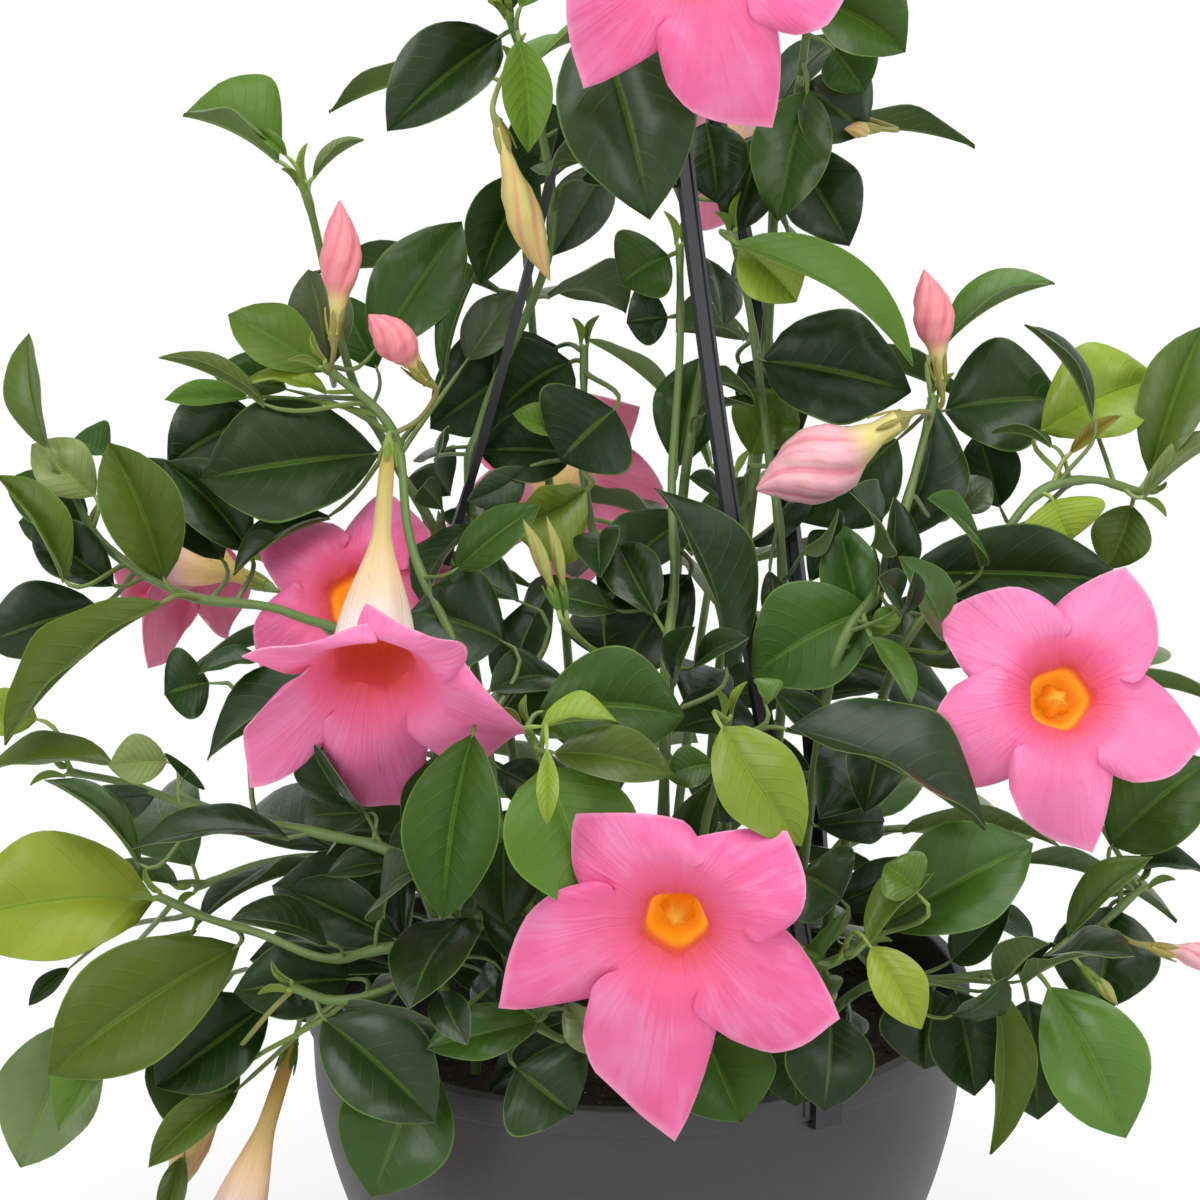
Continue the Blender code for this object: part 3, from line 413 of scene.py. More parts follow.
@dataclass(frozen=True)
class BudFinish:
    """A closed bud: a pale neck that turns to the bud's own tint, with twisted folds."""

    name: str = "bud_skin"
    neck: Colour = (0.74, 0.66, 0.22)
    flush: Colour = (0.85, 0.14, 0.21)

    def make(self) -> Material:
        """Return the material."""
        graph = Graph(self.name)
        tint = graph.attribute("tint", out="Color")
        along, ridge, slope = graph.parts(graph.attribute("blade"))
        where = graph.place()
        streak = graph.noise(graph.vector(along * 3.0, ridge * 1.6, slope * 1.6), 1.0, 3)
        body = graph.mix(streak.rise(0.4, 0.75) * 0.5, tint, self.flush)
        body = graph.mix(ridge.rise(-0.55, -0.95) * 0.4, body, self.flush)
        colour = graph.mix(along.rise(0.18, 0.42), self.neck, body)
        fine = graph.noise(where, 500, 3)
        return graph.finish({
            "Base Color": colour, "Roughness": fine * 0.2 + 0.36,
            "Normal": graph.bump(fine * 0.3 + streak * 0.4, 0.0004),
        })


@dataclass(frozen=True)
class AntherFinish:
    """The cone of anthers deep in a flower's throat: grainy deep yellow."""

    name: str = "anther_cone"
    colour: Colour = (0.92, 0.46, 0.015)

    def make(self) -> Material:
        """Return the material."""
        graph = Graph(self.name)
        grain = graph.noise(graph.place(), 1500, 3)
        colour = graph.mix(grain, self.colour, (0.98, 0.66, 0.08))
        return graph.finish({
            "Base Color": colour, "Roughness": grain * 0.2 + 0.6, "Normal": graph.bump(grain, 0.0005),
        })


@dataclass(frozen=True)
class MouldedPlastic:
    """Moulded plastic: fine speckle, faint flow streaks, scuffs and a soft grain."""

    name: str
    colour: Colour
    speck_colour: Colour
    specks: float
    roughness: float
    grain: float

    def make(self) -> Material:
        """Return the material."""
        graph = Graph(self.name)
        where = graph.place()
        speck = graph.noise(where, 1400, 2, 0.7)
        cloud = graph.noise(where, 9, 4)
        flow = graph.noise(graph.node("ShaderNodeVectorMath", {"operation": "MULTIPLY"},
                                      {0: where, 1: (6, 6, 90)}), 1.0, 3)
        colour = graph.mix(speck.rise(0.55, 0.8) * self.specks, self.colour, self.speck_colour)
        colour = graph.mix((cloud - 0.3) * 0.35, colour, self.speck_colour)
        colour = graph.mix((flow - 0.4) * 0.12, colour, BLACK)
        rough = cloud * 0.16 + speck * 0.12 + (self.roughness - 0.14)
        return graph.finish({
            "Base Color": colour, "Roughness": rough,
            "Normal": graph.bump(speck * 0.6 + graph.noise(where, 320, 3) * 0.4, self.grain),
        })


@dataclass(frozen=True)
class MixFinish:
    """Moist potting mix: peat and bark in browns, with a few pale grains."""

    name: str = "peat_and_bark"

    def make(self) -> Material:
        """Return the material."""
        graph = Graph(self.name)
        where = graph.place()
        crumb = graph.noise(where, 220, 5, 0.7)
        chips = graph.node("ShaderNodeTexVoronoi", {"feature": "F1"}, {"Vector": where, "Scale": 240.0})
        colour = graph.ramp(crumb, [(0.3, (0.006, 0.004, 0.003)), (0.55, (0.030, 0.017, 0.009)),
                                    (0.75, (0.085, 0.048, 0.026))])
        grain = graph.noise(where, 420, 1).rise(0.70, 0.76)
        colour = graph.mix(grain, colour, (0.50, 0.47, 0.42))
        height = crumb * 0.8 + chips * 0.8
        return graph.finish({
            "Base Color": colour, "Roughness": crumb * 0.2 + 0.75, "Normal": graph.bump(height, 0.002),
        })


LEAF_TOP = BladeFinish(
    "leaf_upper_face", vein_colour=(0.20, 0.36, 0.05), vein_strength=0.07, bloom_colour=(0.10, 0.16, 0.05),
    bloom=0.0, roughness=0.36, coat=0.50, relief=0.0009, midrib_strength=0.30, specular=0.16)
LEAF_UNDER = BladeFinish(
    "leaf_under_face", vein_colour=(0.36, 0.44, 0.16), vein_strength=0.30, bloom_colour=(0.16, 0.25, 0.08),
    bloom=0.38, roughness=0.58, coat=0.0, relief=0.0009, midrib_strength=0.45, specular=0.25)
# The face's glow paints orange light into the throat; the back has none.
PETAL_FACE = PetalFinish(
    "petal_face",
    [(0.0, (0.60, 0.38, 0.03)), (0.34, (0.88, 0.32, 0.005)), (0.40, (0.98, 0.50, 0.01)),
     (0.445, (0.95, 0.24, 0.05)), (0.505, (0.88, 0.10, 0.13)), (0.57, (0.95, 0.14, 0.31)),
     (0.80, (0.96, 0.155, 0.40)), (1.0, (0.94, 0.165, 0.42))],
    vein_colour=(0.84, 0.06, 0.25), veins=0.30, light=(1.0, 0.36, 0.66), glow=(0.42, 0.19, 0.003))
PETAL_BACK = PetalFinish(
    "petal_back",
    [(0.0, (0.42, 0.52, 0.07)), (0.20, (0.66, 0.68, 0.17)), (0.34, (0.82, 0.80, 0.34)),
     (0.44, (0.90, 0.82, 0.58)), (0.49, (0.95, 0.88, 0.82)), (0.52, (0.95, 0.62, 0.70)),
     (0.60, (0.94, 0.30, 0.50)), (1.0, (0.95, 0.28, 0.50))],
    vein_colour=(0.88, 0.14, 0.34), veins=0.22, light=(1.0, 0.48, 0.70), glow=BLACK)
POT_PLASTIC = MouldedPlastic(
    "pot_grey_plastic", (0.036, 0.036, 0.037), (0.095, 0.095, 0.097), specks=0.5, roughness=0.5, grain=0.0003)
HANGER_PLASTIC = MouldedPlastic(
    "hanger_black_plastic", (0.013, 0.014, 0.017), (0.05, 0.052, 0.058), specks=0.25, roughness=0.30,
    grain=0.0001)


# ---- Layout ----


class Facing(Enum):
    """Where a leaf's upper face looks: its parts to the right, up and toward the front of the board."""

    FRONT = (0, 0.35, 1)
    UP = (0, 1, 0.5)
    DOWN = (0, -0.6, 1)
    LEFT = (-0.8, 0.4, 0.7)
    RIGHT = (0.8, 0.4, 0.7)


@dataclass(frozen=True)
class Board:
    """The layout board, the standpoint that it is drawn from and the bulge of the foliage."""

    centre: Vector
    pitch: float = math.radians(18.2)
    standpoint: Vector = field(default_factory=lambda: Vector((-0.014, -1.946, 0.955)))
    bulge_front: float = 150
    bulge_loss: float = 158
    bulge_top: float = 60
    bulge_blend: float = 150
    bulge_half_width: float = 265

    @property
    def up(self) -> Vector:
        """The board's own way up."""
        return Vector((0, math.sin(self.pitch), math.cos(self.pitch)))

    @property
    def toward(self) -> Vector:
        """The way from the board to the standpoint."""
        return Vector((0, -math.cos(self.pitch), math.sin(self.pitch)))

    def point(self, x: float, up: float, front: float) -> Vector:
        """Return the point drawn at x, up that stands this far in front of the axis, all in millimetres."""
        drawn = self.centre + Vector((x * MM, 0, 0)) + self.up * up * MM
        share = (-front * MM - self.standpoint.y) / (drawn.y - self.standpoint.y)
        return self.standpoint + (drawn - self.standpoint) * share

    def direction(self, right: float, up: float, toward: float) -> Vector:
        """Return the unit vector with these parts along the board's own axes."""
        return (Vector((right, 0, 0)) + self.up * up + self.toward * toward).normalized()

    def drawn_at(self, point: Vector) -> Pair:
        """Return the x and up, in millimetres, at which a point is drawn."""
        sight = point - self.standpoint
        share = (self.centre - self.standpoint).dot(self.toward) / sight.dot(self.toward)
        drawn = self.standpoint + sight * share - self.centre
        return drawn.x / MM, drawn.dot(self.up) / MM

    def front(self, x: float, up: float) -> float:
        """Return how far in front of the axis the outer leaves stand at this place, in millimetres."""
        share = min(max((up - self.bulge_top) / self.bulge_blend, 0), 1)
        bulge = self.bulge_front - self.bulge_loss * share * share * (3 - 2 * share)
        return bulge * (1 - (x / self.bulge_half_width) ** 2)


@dataclass(frozen=True)
class LeafPlan:
    """Where one leaf grows: its base and tip on the board with their front, or in space."""

    base: tuple[float, float, float] | Vector
    tip: tuple[float, float, float] | Vector
    width: float
    facing: Vector
    fold: float
    tone: Tone
    scale: float = 1.0


@dataclass(frozen=True)
class FlowerPlan:
    """Where one flower stands, its sizes in metres, and how far its lobes sag as a share of its radius."""

    name: str
    shoot: str
    foot: Vector
    facing: Vector
    radius: float
    tube: float
    turn: float
    sag: float
    throat: float
    paleness: float


@dataclass(frozen=True)
class BudPlan:
    """Where one bud stands, its greatest radius in metres, and its tint."""

    name: str
    shoot: str
    foot: Vector
    tip: Vector
    radius: float
    tint: Colour
    green: float


BUD_PINK = (0.87, 0.29, 0.31)
BUD_PALE = (0.90, 0.47, 0.50)
BUD_STRAW = (0.60, 0.52, 0.16)
BUD_GREEN = (0.30, 0.44, 0.08)


# Flowers: name, shoot, middle of the face (x, up, front), looks toward, face radius, tube length, turn, sag,
# radius of the throat and paleness.
FLOWERS: list[Row] = [
    ("flower_top", "shoot_crown_center", (22, 386, 66), (0.05, -0.15, 0.98), 60, 50, 3, 0.12, 11.5, 0.05),
    ("flower_left", "shoot_upper_left", (-100, 115, 140), (-0.03, -0.76, 0.65), 56, 104, 18, 0.44, 14, 0.32),
    ("flower_left_behind", "shoot_lone_sprig", (-107, 144, 30), (-0.2, 0.3, 0.9), 48, 42, -1, 0.1, 11, 0.1),
    ("flower_front", "shoot_front_center", (14, 20, 176), (-0.1, -0.3, 0.95), 64, 50, 32, 0.26, 11.5, 0.0),
    ("flower_right", "shoot_bottom_right", (160, 106, 105), (0.1, 0.1, 1), 56, 46, 20, 0.07, 11.5, 0.42),
    ("flower_low_left", "shoot_bottom_left", (-154, -100, 138), (-0.28, -0.9, 0.35), 44, 76, 0, 0.15, 10,
     0.5),
    ("flower_back_high", "shoot_back_high_right", (36, 318, -112), (0.3, 0.5, -0.8), 42, 46, 10, 0.1, 10,
     0.2),
    ("flower_back", "shoot_back_middle", (-30, 190, -185), (-0.1, 0.3, -1), 48, 48, 25, 0.12, 11, 0.1),
    ("flower_back_left", "shoot_back_left", (-170, 160, -110), (-0.8, 0.3, -0.7), 46, 46, 0, 0.12, 11, 0.1),
]

# Buds: name, shoot, foot (x, up, front), tip (x, up, front), greatest radius, tint and how green it is.
BUDS: list[Row] = [
    ("bud_upper_left", "shoot_upper_left", (-114, 243, 26), (-112, 293, 22), 7.5, BUD_PINK, 0.0),
    ("bud_upper_left_second", "shoot_upper_left", (-80, 226, 34), (-101, 250, 44), 7.5, BUD_PINK, 0.0),
    ("bud_low_left", "shoot_bottom_left", (-151, -30, 108), (-176, -84, 84), 6.5, BUD_STRAW, 0.3),
    ("bud_crown", "shoot_crown_left", (-52, 321, 26), (-33, 263, 30), 6.5, BUD_STRAW, 0.4),
    ("bud_center", "shoot_right_buds", (98, 210, 40), (45, 184, 52), 14, BUD_PALE, 0.0),
    ("bud_right", "shoot_right_buds", (114, 226, 22), (108, 267, 20), 7.5, BUD_PINK, 0.0),
    ("bud_hooked", "shoot_crown_right", (91, 320, -12), (78, 320, -6), 3, BUD_STRAW, 0.2),
    ("bud_slender", "shoot_center_left", (-30, 140, 108), (-43, 173, 110), 2.6, BUD_GREEN, 1.0),
    ("bud_slender_second", "shoot_center_left", (-27, 140, 104), (-34, 174, 104), 2.4, BUD_GREEN, 1.0),
    ("bud_low_right", "shoot_bottom_right", (168, 4, 104), (181, -10, 112), 2.6, BUD_GREEN, 1.0),
    ("bud_far_right", "shoot_bottom_right", (194, 12, 100), (226, 4, 108), 5, BUD_PALE, 0.2),
]

# Shoots round the back: bearing from the front, radius and height of each point of the stem, and leaves.
BACK_SHOOTS: dict[str, Row] = {
    "shoot_back_right": (100, [(70, 205), (120, 255), (165, 270)], 6),
    "shoot_back_right_low": (124, [(75, 190), (125, 200), (168, 178)], 6),
    "shoot_back_high_right": (140, [(45, 260), (72, 380), (78, 475)], 8),
    "shoot_back_middle": (166, [(70, 215), (118, 285), (160, 315)], 8),
    "shoot_back_low": (188, [(75, 190), (130, 198), (178, 168)], 6),
    "shoot_back_high_left": (214, [(45, 270), (70, 400), (82, 500)], 8),
    "shoot_back_left": (236, [(70, 215), (120, 275), (168, 300)], 8),
    "shoot_back_left_low": (258, [(75, 190), (125, 205), (172, 188)], 6),
}

# Front shoots: name, root (x, y) on the mix, points of the stem (x, up, front), and leaves, each as base x,
# base up, tip x, tip up, width, fold in degrees, layers behind the outermost leaves, tone, and facing where
# it is not the front.
SHOOTS: list[Row] = [
    ("shoot_crown_left", (-30, 14), [(-58, 150, 2), (-64, 192, -9), (-45, 243, -9), (-28, 298, -9),
        (-42, 340, -12), (-48, 362, -6)], [
        (-50, 356, -94, 319, 38, 30, 0, "dark"), (-47, 364, -92, 382, 26, 25, 0, "lime", "up"),
        (-45, 359, -41, 311, 22, 35, -2, "light"), (-38, 305, -59, 261, 30, 35, 1, "dark"),
        (-30, 352, -38, 298, 28, 20, 2, "dark"), (-48, 364, -58, 408, 28, 20, 1, "mid"),
        (-44, 366, -22, 402, 26, 20, 0, "light"),
    ]),
    ("shoot_crown_center", (6, 22), [(14, 150, 5), (25, 228, -8), (24, 262, -12), (14, 304, -14),
        (-8, 350, -14), (-14, 374, -4)], [
        (-15, 360, 5, 286, 50, 12, -3, "dull"), (-12, 306, -32, 272, 24, 20, 1, "grey"),
        (-14, 376, -2, 418, 30, 20, 1, "mid", "up"), (-14, 372, -34, 392, 24, 20, 1, "mid"),
    ]),
    ("shoot_crown_right", (30, 20), [(40, 150, 0), (48, 220, -26), (52, 290, -34), (60, 330, -32),
        (66, 374, -16)], [
        (24, 336, 30, 292, 28, 20, 2, "dark"), (64, 334, 53, 285, 32, 25, 0, "mid"),
        (54, 342, 86, 318, 36, 15, 1, "dark"), (58, 312, 80, 276, 32, 15, 1, "dark"),
        (68, 368, 101, 349, 42, 30, -1, "mid"), (74, 350, 86, 334, 24, 15, 1, "mid"),
        (67, 376, 98, 398, 30, 25, 0, "mid", "up"), (64, 376, 56, 412, 28, 20, 1, "light"),
        (46, 318, 36, 280, 26, 20, 2, "dark"),
    ]),
    ("shoot_lone_sprig", (-44, 30), [(-66, 140, -6), (-92, 196, -18), (-108, 228, -14), (-122, 286, 0),
        (-126, 299, 2)], [
        (-135, 308, -171, 325, 50, 40, 0, "light", "up"), (-132, 310, -145, 320, 7, 40, -1, "light"),
        (-122, 302, -103, 316, 10, 55, 0, "pale", "up"),
    ]),
    ("shoot_upper_left", (-40, -16), [(-60, 100, 86), (-84, 160, 60), (-89, 195, 38), (-96, 212, 20),
        (-118, 231, 14)], [
        (-116, 230, -124, 267, 26, 20, 2, "grey"), (-118, 229, -154, 250, 26, 20, 0, "light"),
        (-117, 221, -148, 224, 20, 20, -1, "lime", "up"), (-99, 236, -66, 285, 34, 15, 2, "mid"),
        (-88, 199, -165, 188, 50, 15, -1, "gloss"), (-143, 212, -177, 193, 34, 20, 1, "dark"),
        (-140, 216, -180, 234, 14, 50, -1, "olive", "up"), (-147, 219, -178, 218, 12, 30, 0, "light"),
        (-132, 222, -160, 228, 18, 20, 1, "mid"), (-116, 174, -152, 152, 22, 30, 0, "dull", "up"),
        (-73, 226, -57, 272, 15, 40, 1, "mid", "left"), (-64, 233, -46, 259, 20, 20, 1, "grey"),
    ]),
    ("shoot_left_high", (-58, -2), [(-76, 95, 85), (-115, 128, 55), (-150, 146, 32), (-182, 145, 18),
        (-204, 168, 6), (-214, 186, 0)], [
        (-178, 142, -238, 88, 36, 35, -1, "olive", "up"), (-178, 150, -199, 202, 34, 30, -1, "olive"),
        (-184, 190, -213, 202, 28, 20, 1, "mid", "up"), (-204, 182, -228, 201, 24, 20, 0, "pale"),
        (-222, 200, -229, 243, 22, 20, 0, "olive", "left"), (-197, 148, -228, 171, 24, 20, 0, "dark"),
        (-212, 144, -242, 190, 26, 50, -1, "olive", "up"), (-207, 170, -238, 188, 24, 20, 1, "mid"),
        (-208, 166, -233, 172, 20, 20, 2, "mid"), (-146, 161, -178, 195, 30, 30, 0, "dark"),
        (-156, 158, -190, 196, 28, 25, 1, "dark"), (-203, 140, -246, 126, 32, 20, 1, "dark"),
    ]),
    ("shoot_left_middle", (-66, -24), [(-84, 40, 105), (-120, 55, 95), (-157, 61, 75), (-190, 73, 55),
        (-214, 78, 42)], [
        (-177, 82, -199, 80, 20, 20, 0, "pale"), (-178, 70, -208, 69, 18, 20, 1, "grey", "down"),
        (-197, 81, -246, 78, 26, 20, -1, "olive", "up"), (-226, 98, -250, 101, 20, 20, 0, "lime"),
        (-181, 37, -223, 75, 18, 45, -1, "mid", "up"), (-131, 53, -190, 49, 26, 20, 0, "dark", "up"),
        (-148, 101, -168, 79, 22, 25, 1, "dark"), (-138, 118, -178, 107, 30, 20, 1, "dark"),
    ]),
    ("shoot_left_low", (-60, -46), [(-78, 8, 112), (-108, 6, 116), (-128, 12, 110), (-150, 20, 100),
        (-165, 24, 90), (-180, 31, 80)], [
        (-179, 31, -260, 20, 50, 15, -2, "lime"), (-149, 13, -222, -36, 46, 15, -2, "olive"),
        (-162, 25, -218, -57, 40, 25, -1, "light", "up"), (-205, -15, -232, -71, 40, 15, 0, "pale"),
        (-214, 4, -229, -10, 9, 30, 1, "dull"),
    ]),
    ("shoot_bottom_left", (-40, -62), [(-56, 24, 96), (-80, 4, 128), (-108, -8, 132), (-130, -3, 130)], [
        (-108, 0, -152, -5, 30, 15, 1, "dark"), (-139, -9, -181, -41, 42, 30, 0, "dark"),
        (-160, -14, -171, -61, 36, 15, 2, "mid"), (-118, -15, -76, -54, 40, 20, -1, "dull"),
        (-80, -30, -100, -82, 44, 15, 1, "mid"), (-112, -9, -68, -19, 26, 25, 0, "grey", "down"),
        (-151, -42, -184, -71, 18, 30, -1, "olive"), (-171, -67, -178, -96, 12, 30, -1, "olive"),
    ]),
    ("shoot_front_left", (-26, -44), [(-44, 40, 90), (-57, 70, 112), (-60, 96, 116)], [
        (-62, 92, -73, 22, 36, 20, -1, "mid"), (-73, 86, -77, 42, 26, 15, 1, "dark", "left"),
        (-50, 52, -50, 21, 26, 15, 1, "dark"), (-46, 126, -86, 138, 40, 12, 0, "dark"),
        (-42, 142, -74, 151, 32, 15, 1, "dark", "up"),
    ]),
    ("shoot_front_center", (-6, -52), [(-16, 30, 90), (-30, 70, 122), (-42, 95, 126)], [
        (-48, 101, 18, 99, 42, 15, 0, "mid"), (-43, 95, -7, 96, 22, 30, -2, "lime", "up"),
        (-31, 85, 14, 77, 22, 25, -1, "olive"), (-34, 86, -34, 58, 9, 30, -3, "lime"),
        (-37, 84, -16, 24, 48, 15, -1, "light"),
    ]),
    ("shoot_center_left", (-14, -14), [(-8, 110, 55), (-18, 170, 10), (-20, 200, -5), (-20, 238, -22)], [
        (-30, 238, -78, 207, 42, 15, 1, "dark"), (-20, 236, -52, 213, 38, 15, 1, "dark"),
        (-27, 206, -47, 213, 14, 30, -1, "light"), (-18, 198, -60, 199, 30, 15, 0, "dark"),
        (-42, 192, -64, 180, 18, 15, 0, "grey", "down"), (8, 196, -49, 171, 40, 35, -1, "lime", "down"),
        (22, 243, -29, 195, 46, 15, -1, "gloss"),
    ]),
    ("shoot_center_right", (12, -20), [(10, 100, 90), (14, 150, 62), (13, 186, 36), (16, 236, 2),
        (16, 276, -8)], [
        (18, 276, -6, 261, 32, 20, 0, "mid"), (18, 250, -4, 247, 26, 20, 1, "dark"),
        (14, 187, 24, 234, 28, 20, 0, "mid"), (38, 106, 7, 185, 40, 35, -1, "dark", "right"),
        (20, 152, -8, 112, 32, 15, 2, "dark"),
    ]),
    ("shoot_right_high", (38, -12), [(56, 120, 48), (51, 180, 20), (45, 236, -12), (36, 281, -18)], [
        (33, 279, 104, 231, 34, 25, -3, "light", "up"), (31, 283, 60, 255, 30, 20, -2, "lime"),
        (31, 236, 103, 221, 46, 15, -1, "dark"), (39, 190, 56, 222, 28, 20, 0, "light"),
        (38, 232, 62, 206, 30, 15, 1, "dark"),
    ]),
    ("shoot_right_buds", (56, -6), [(72, 110, 90), (92, 148, 66), (97, 162, 52), (107, 200, 28),
        (112, 219, 20)], [
        (95, 159, 110, 219, 34, 35, -1, "dark", "right"), (101, 152, 184, 149, 36, 25, -1, "dark"),
        (98, 203, 62, 172, 42, 15, 2, "dull"), (120, 176, 133, 188, 16, 15, 0, "grey"),
        (117, 241, 157, 262, 26, 40, 1, "light", "up"), (116, 214, 160, 218, 46, 15, 1, "dull"),
        (86, 127, 76, 172, 24, 20, -1, "mid"), (88, 129, 103, 104, 17, 20, -1, "light", "right"),
        (89, 128, 98, 141, 10, 20, -1, "light"), (88, 139, 43, 114, 42, 12, 0, "mid"),
        (99, 143, 128, 119, 30, 12, 1, "dull"),
    ]),
    ("shoot_right_far", (66, 10), [(96, 116, 70), (130, 156, 45), (150, 182, 32), (170, 188, 22),
        (190, 183, 12)], [
        (151, 206, 197, 226, 40, 20, 0, "lime"), (168, 218, 161, 235, 12, 20, 1, "mid"),
        (193, 190, 213, 246, 30, 30, 0, "olive"), (146, 205, 163, 165, 34, 5, -3, "lime"),
        (163, 198, 182, 212, 8, 40, -2, "bronze"), (188, 183, 177, 154, 24, 20, 0, "olive"),
        (190, 181, 226, 206, 16, 50, -1, "pale", "up"), (138, 172, 128, 206, 24, 15, 2, "dark"),
    ]),
    ("shoot_right_middle", (22, -48), [(24, 45, 92), (31, 78, 114), (34, 98, 118)], [
        (31, 96, 62, 50, 32, 20, -2, "lime"), (29, 81, 11, 76, 16, 15, 0, "mid"),
        (59, 82, 44, 113, 16, 30, -1, "light", "right"), (56, 94, 131, 56, 54, 30, 0, "dark", "up"),
    ]),
    ("shoot_right_low", (44, -44), [(52, 8, 108), (68, 4, 122), (85, 14, 124)], [
        (63, 68, 93, 43, 22, 20, -1, "light"), (92, 20, 149, 51, 42, 20, -1, "mid"),
        (87, 14, 112, 40, 20, 30, -2, "light", "left"), (87, 14, 107, -19, 20, 15, -3, "lime"),
        (47, 24, 69, 7, 38, 10, -1, "mid"), (60, 12, 71, -9, 18, 15, -1, "mid"),
        (93, 0, 67, -11, 12, 30, 0, "light", "up"), (73, -13, 70, -50, 32, 10, -1, "dark"),
        (95, 18, 62, 40, 34, 12, 1, "dull"),
    ]),
    ("shoot_bottom_right", (62, -34), [(82, -4, 112), (108, -2, 118), (132, 3, 110), (158, 8, 96),
        (176, 22, 84), (190, 35, 74)], [
        (112, 4, 108, -34, 36, 10, 1, "dark"), (134, 0, 133, -66, 26, 30, -2, "olive", "right"),
        (119, 0, 127, -44, 28, 10, 0, "dark"), (155, -3, 184, -60, 40, 15, -3, "light"),
        (147, -8, 151, -53, 36, 10, -1, "dull"), (178, 30, 172, -13, 40, 12, 0, "dark"),
        (162, 15, 194, 46, 20, 25, -1, "light", "left"), (172, 43, 214, 40, 18, 20, 0, "dull", "up"),
        (178, 50, 216, 82, 38, 15, 0, "mid"), (158, 45, 166, 18, 20, 15, 1, "dark", "right"),
        (154, 9, 128, 26, 18, 20, 0, "dull", "up"),
    ]),
    ("shoot_front_low", (6, -66), [(-14, -10, 112), (-40, -14, 128), (-25, -24, 134), (-7, -36, 138)], [
        (-56, -25, -24, -51, 42, 15, -1, "gloss"), (-5, -35, -27, -8, 16, 25, -1, "pale", "left"),
        (26, -22, 39, -54, 38, 12, 0, "mid"), (14, -20, 12, -47, 30, 12, 1, "mid"),
        (56, -18, 60, -48, 24, 10, 1, "dark"),
    ]),
]

# The outline that the foliage fills on the board, as corners (x, up).
FULL_PLACE = [
    (-92, 346), (-91, 320), (-57, 312), (-60, 270), (-76, 250), (-127, 246), (-170, 216), (-212, 202),
    (-240, 190), (-240, 60), (-236, -40), (-215, -66), (-160, -20), (-122, -26), (-90, -62), (-40, -56),
    (20, -40), (70, -46), (118, -30), (130, -60), (190, -56), (212, -10), (212, 225), (155, 232),
    (120, 240), (99, 256), (87, 290), (88, 320), (100, 346), (60, 372), (-60, 372),
]

# Where nothing grown to fill the plant may show: x from and to, up from and to.
OPEN_PLACES = [
    (-250, -170, 245, 420), (-225, -178, 210, 275), (-170, -60, 292, 420), (-29, 8, 240, 290),
    (86, 250, 272, 420), (108, 250, 262, 420), (158, 250, 230, 420), (-148, -128, 50, 68),
    (-222, -198, 45, 75), (-192, -175, 88, 108), (-217, -204, 89, 102), (84, 99, 210, 219),
    (103, 109, 228, 240), (184, 191, 190, 200), (97, 101, 152, 156), (103, 110, 96, 107),
    (129, 133, 76, 83), (-120, 120, -400, -44), (-116, -84, 122, 226),
]


# ---- Geometry ----


def smooth_path(points: Sequence[Vector], count: int) -> list[Vector]:
    """Return points of a smooth curve.

    Args:
        points: What the curve goes through.
        count: How many points to return.

    Returns:
        The curve's points, as many in each span.
    """
    knots = [2 * points[0] - points[1], *points, 2 * points[-1] - points[-2]]
    samples = []
    for index in range(count):
        along = index * (len(points) - 1) / (count - 1)
        span = min(int(along), len(points) - 2)
        share = along - span
        before, start, end, after = knots[span:span + 4]
        samples.append(0.5 * (2 * start + (end - before) * share
                              + (2 * before - 5 * start + 4 * end - after) * share ** 2
                              + (3 * start - before - 3 * end + after) * share ** 3))
    return samples


def bezier(points: Sequence[Vector], count: int) -> list[Vector]:
    """Return points of a cubic Bezier curve.

    Args:
        points: Its four control points.
        count: How many points to return.

    Returns:
        The curve's points.
    """
    start, lead, trail, end = points
    samples = []
    for index in range(count):
        share = index / (count - 1)
        rest = 1 - share
        samples.append(start * rest ** 3 + lead * 3 * rest ** 2 * share
                       + trail * 3 * rest * share ** 2 + end * share ** 3)
    return samples


def frames_along(path: Sequence[Vector]) -> list[tuple[Vector, Vector, Vector]]:
    """Return the way along, and two ways across, at each point of a path, with no twist between them.

    Args:
        path: The path's points.

    Returns:
        One (along, across, other) for each point.
    """
    made = []
    across = (path[1] - path[0]).orthogonal().normalized()
    for index in range(len(path)):
        along = (path[min(index + 1, len(path) - 1)] - path[max(index - 1, 0)]).normalized()
        across = (across - along * across.dot(along)).normalized()
        made.append((along, across, along.cross(across)))
    return made


def step_between(low: float, high: float, value: float) -> float:
    """Return a smooth step of value from 0 at low to 1 at high."""
    share = min(max((value - low) / (high - low), 0.0), 1.0)
    return share * share * (3 - 2 * share)


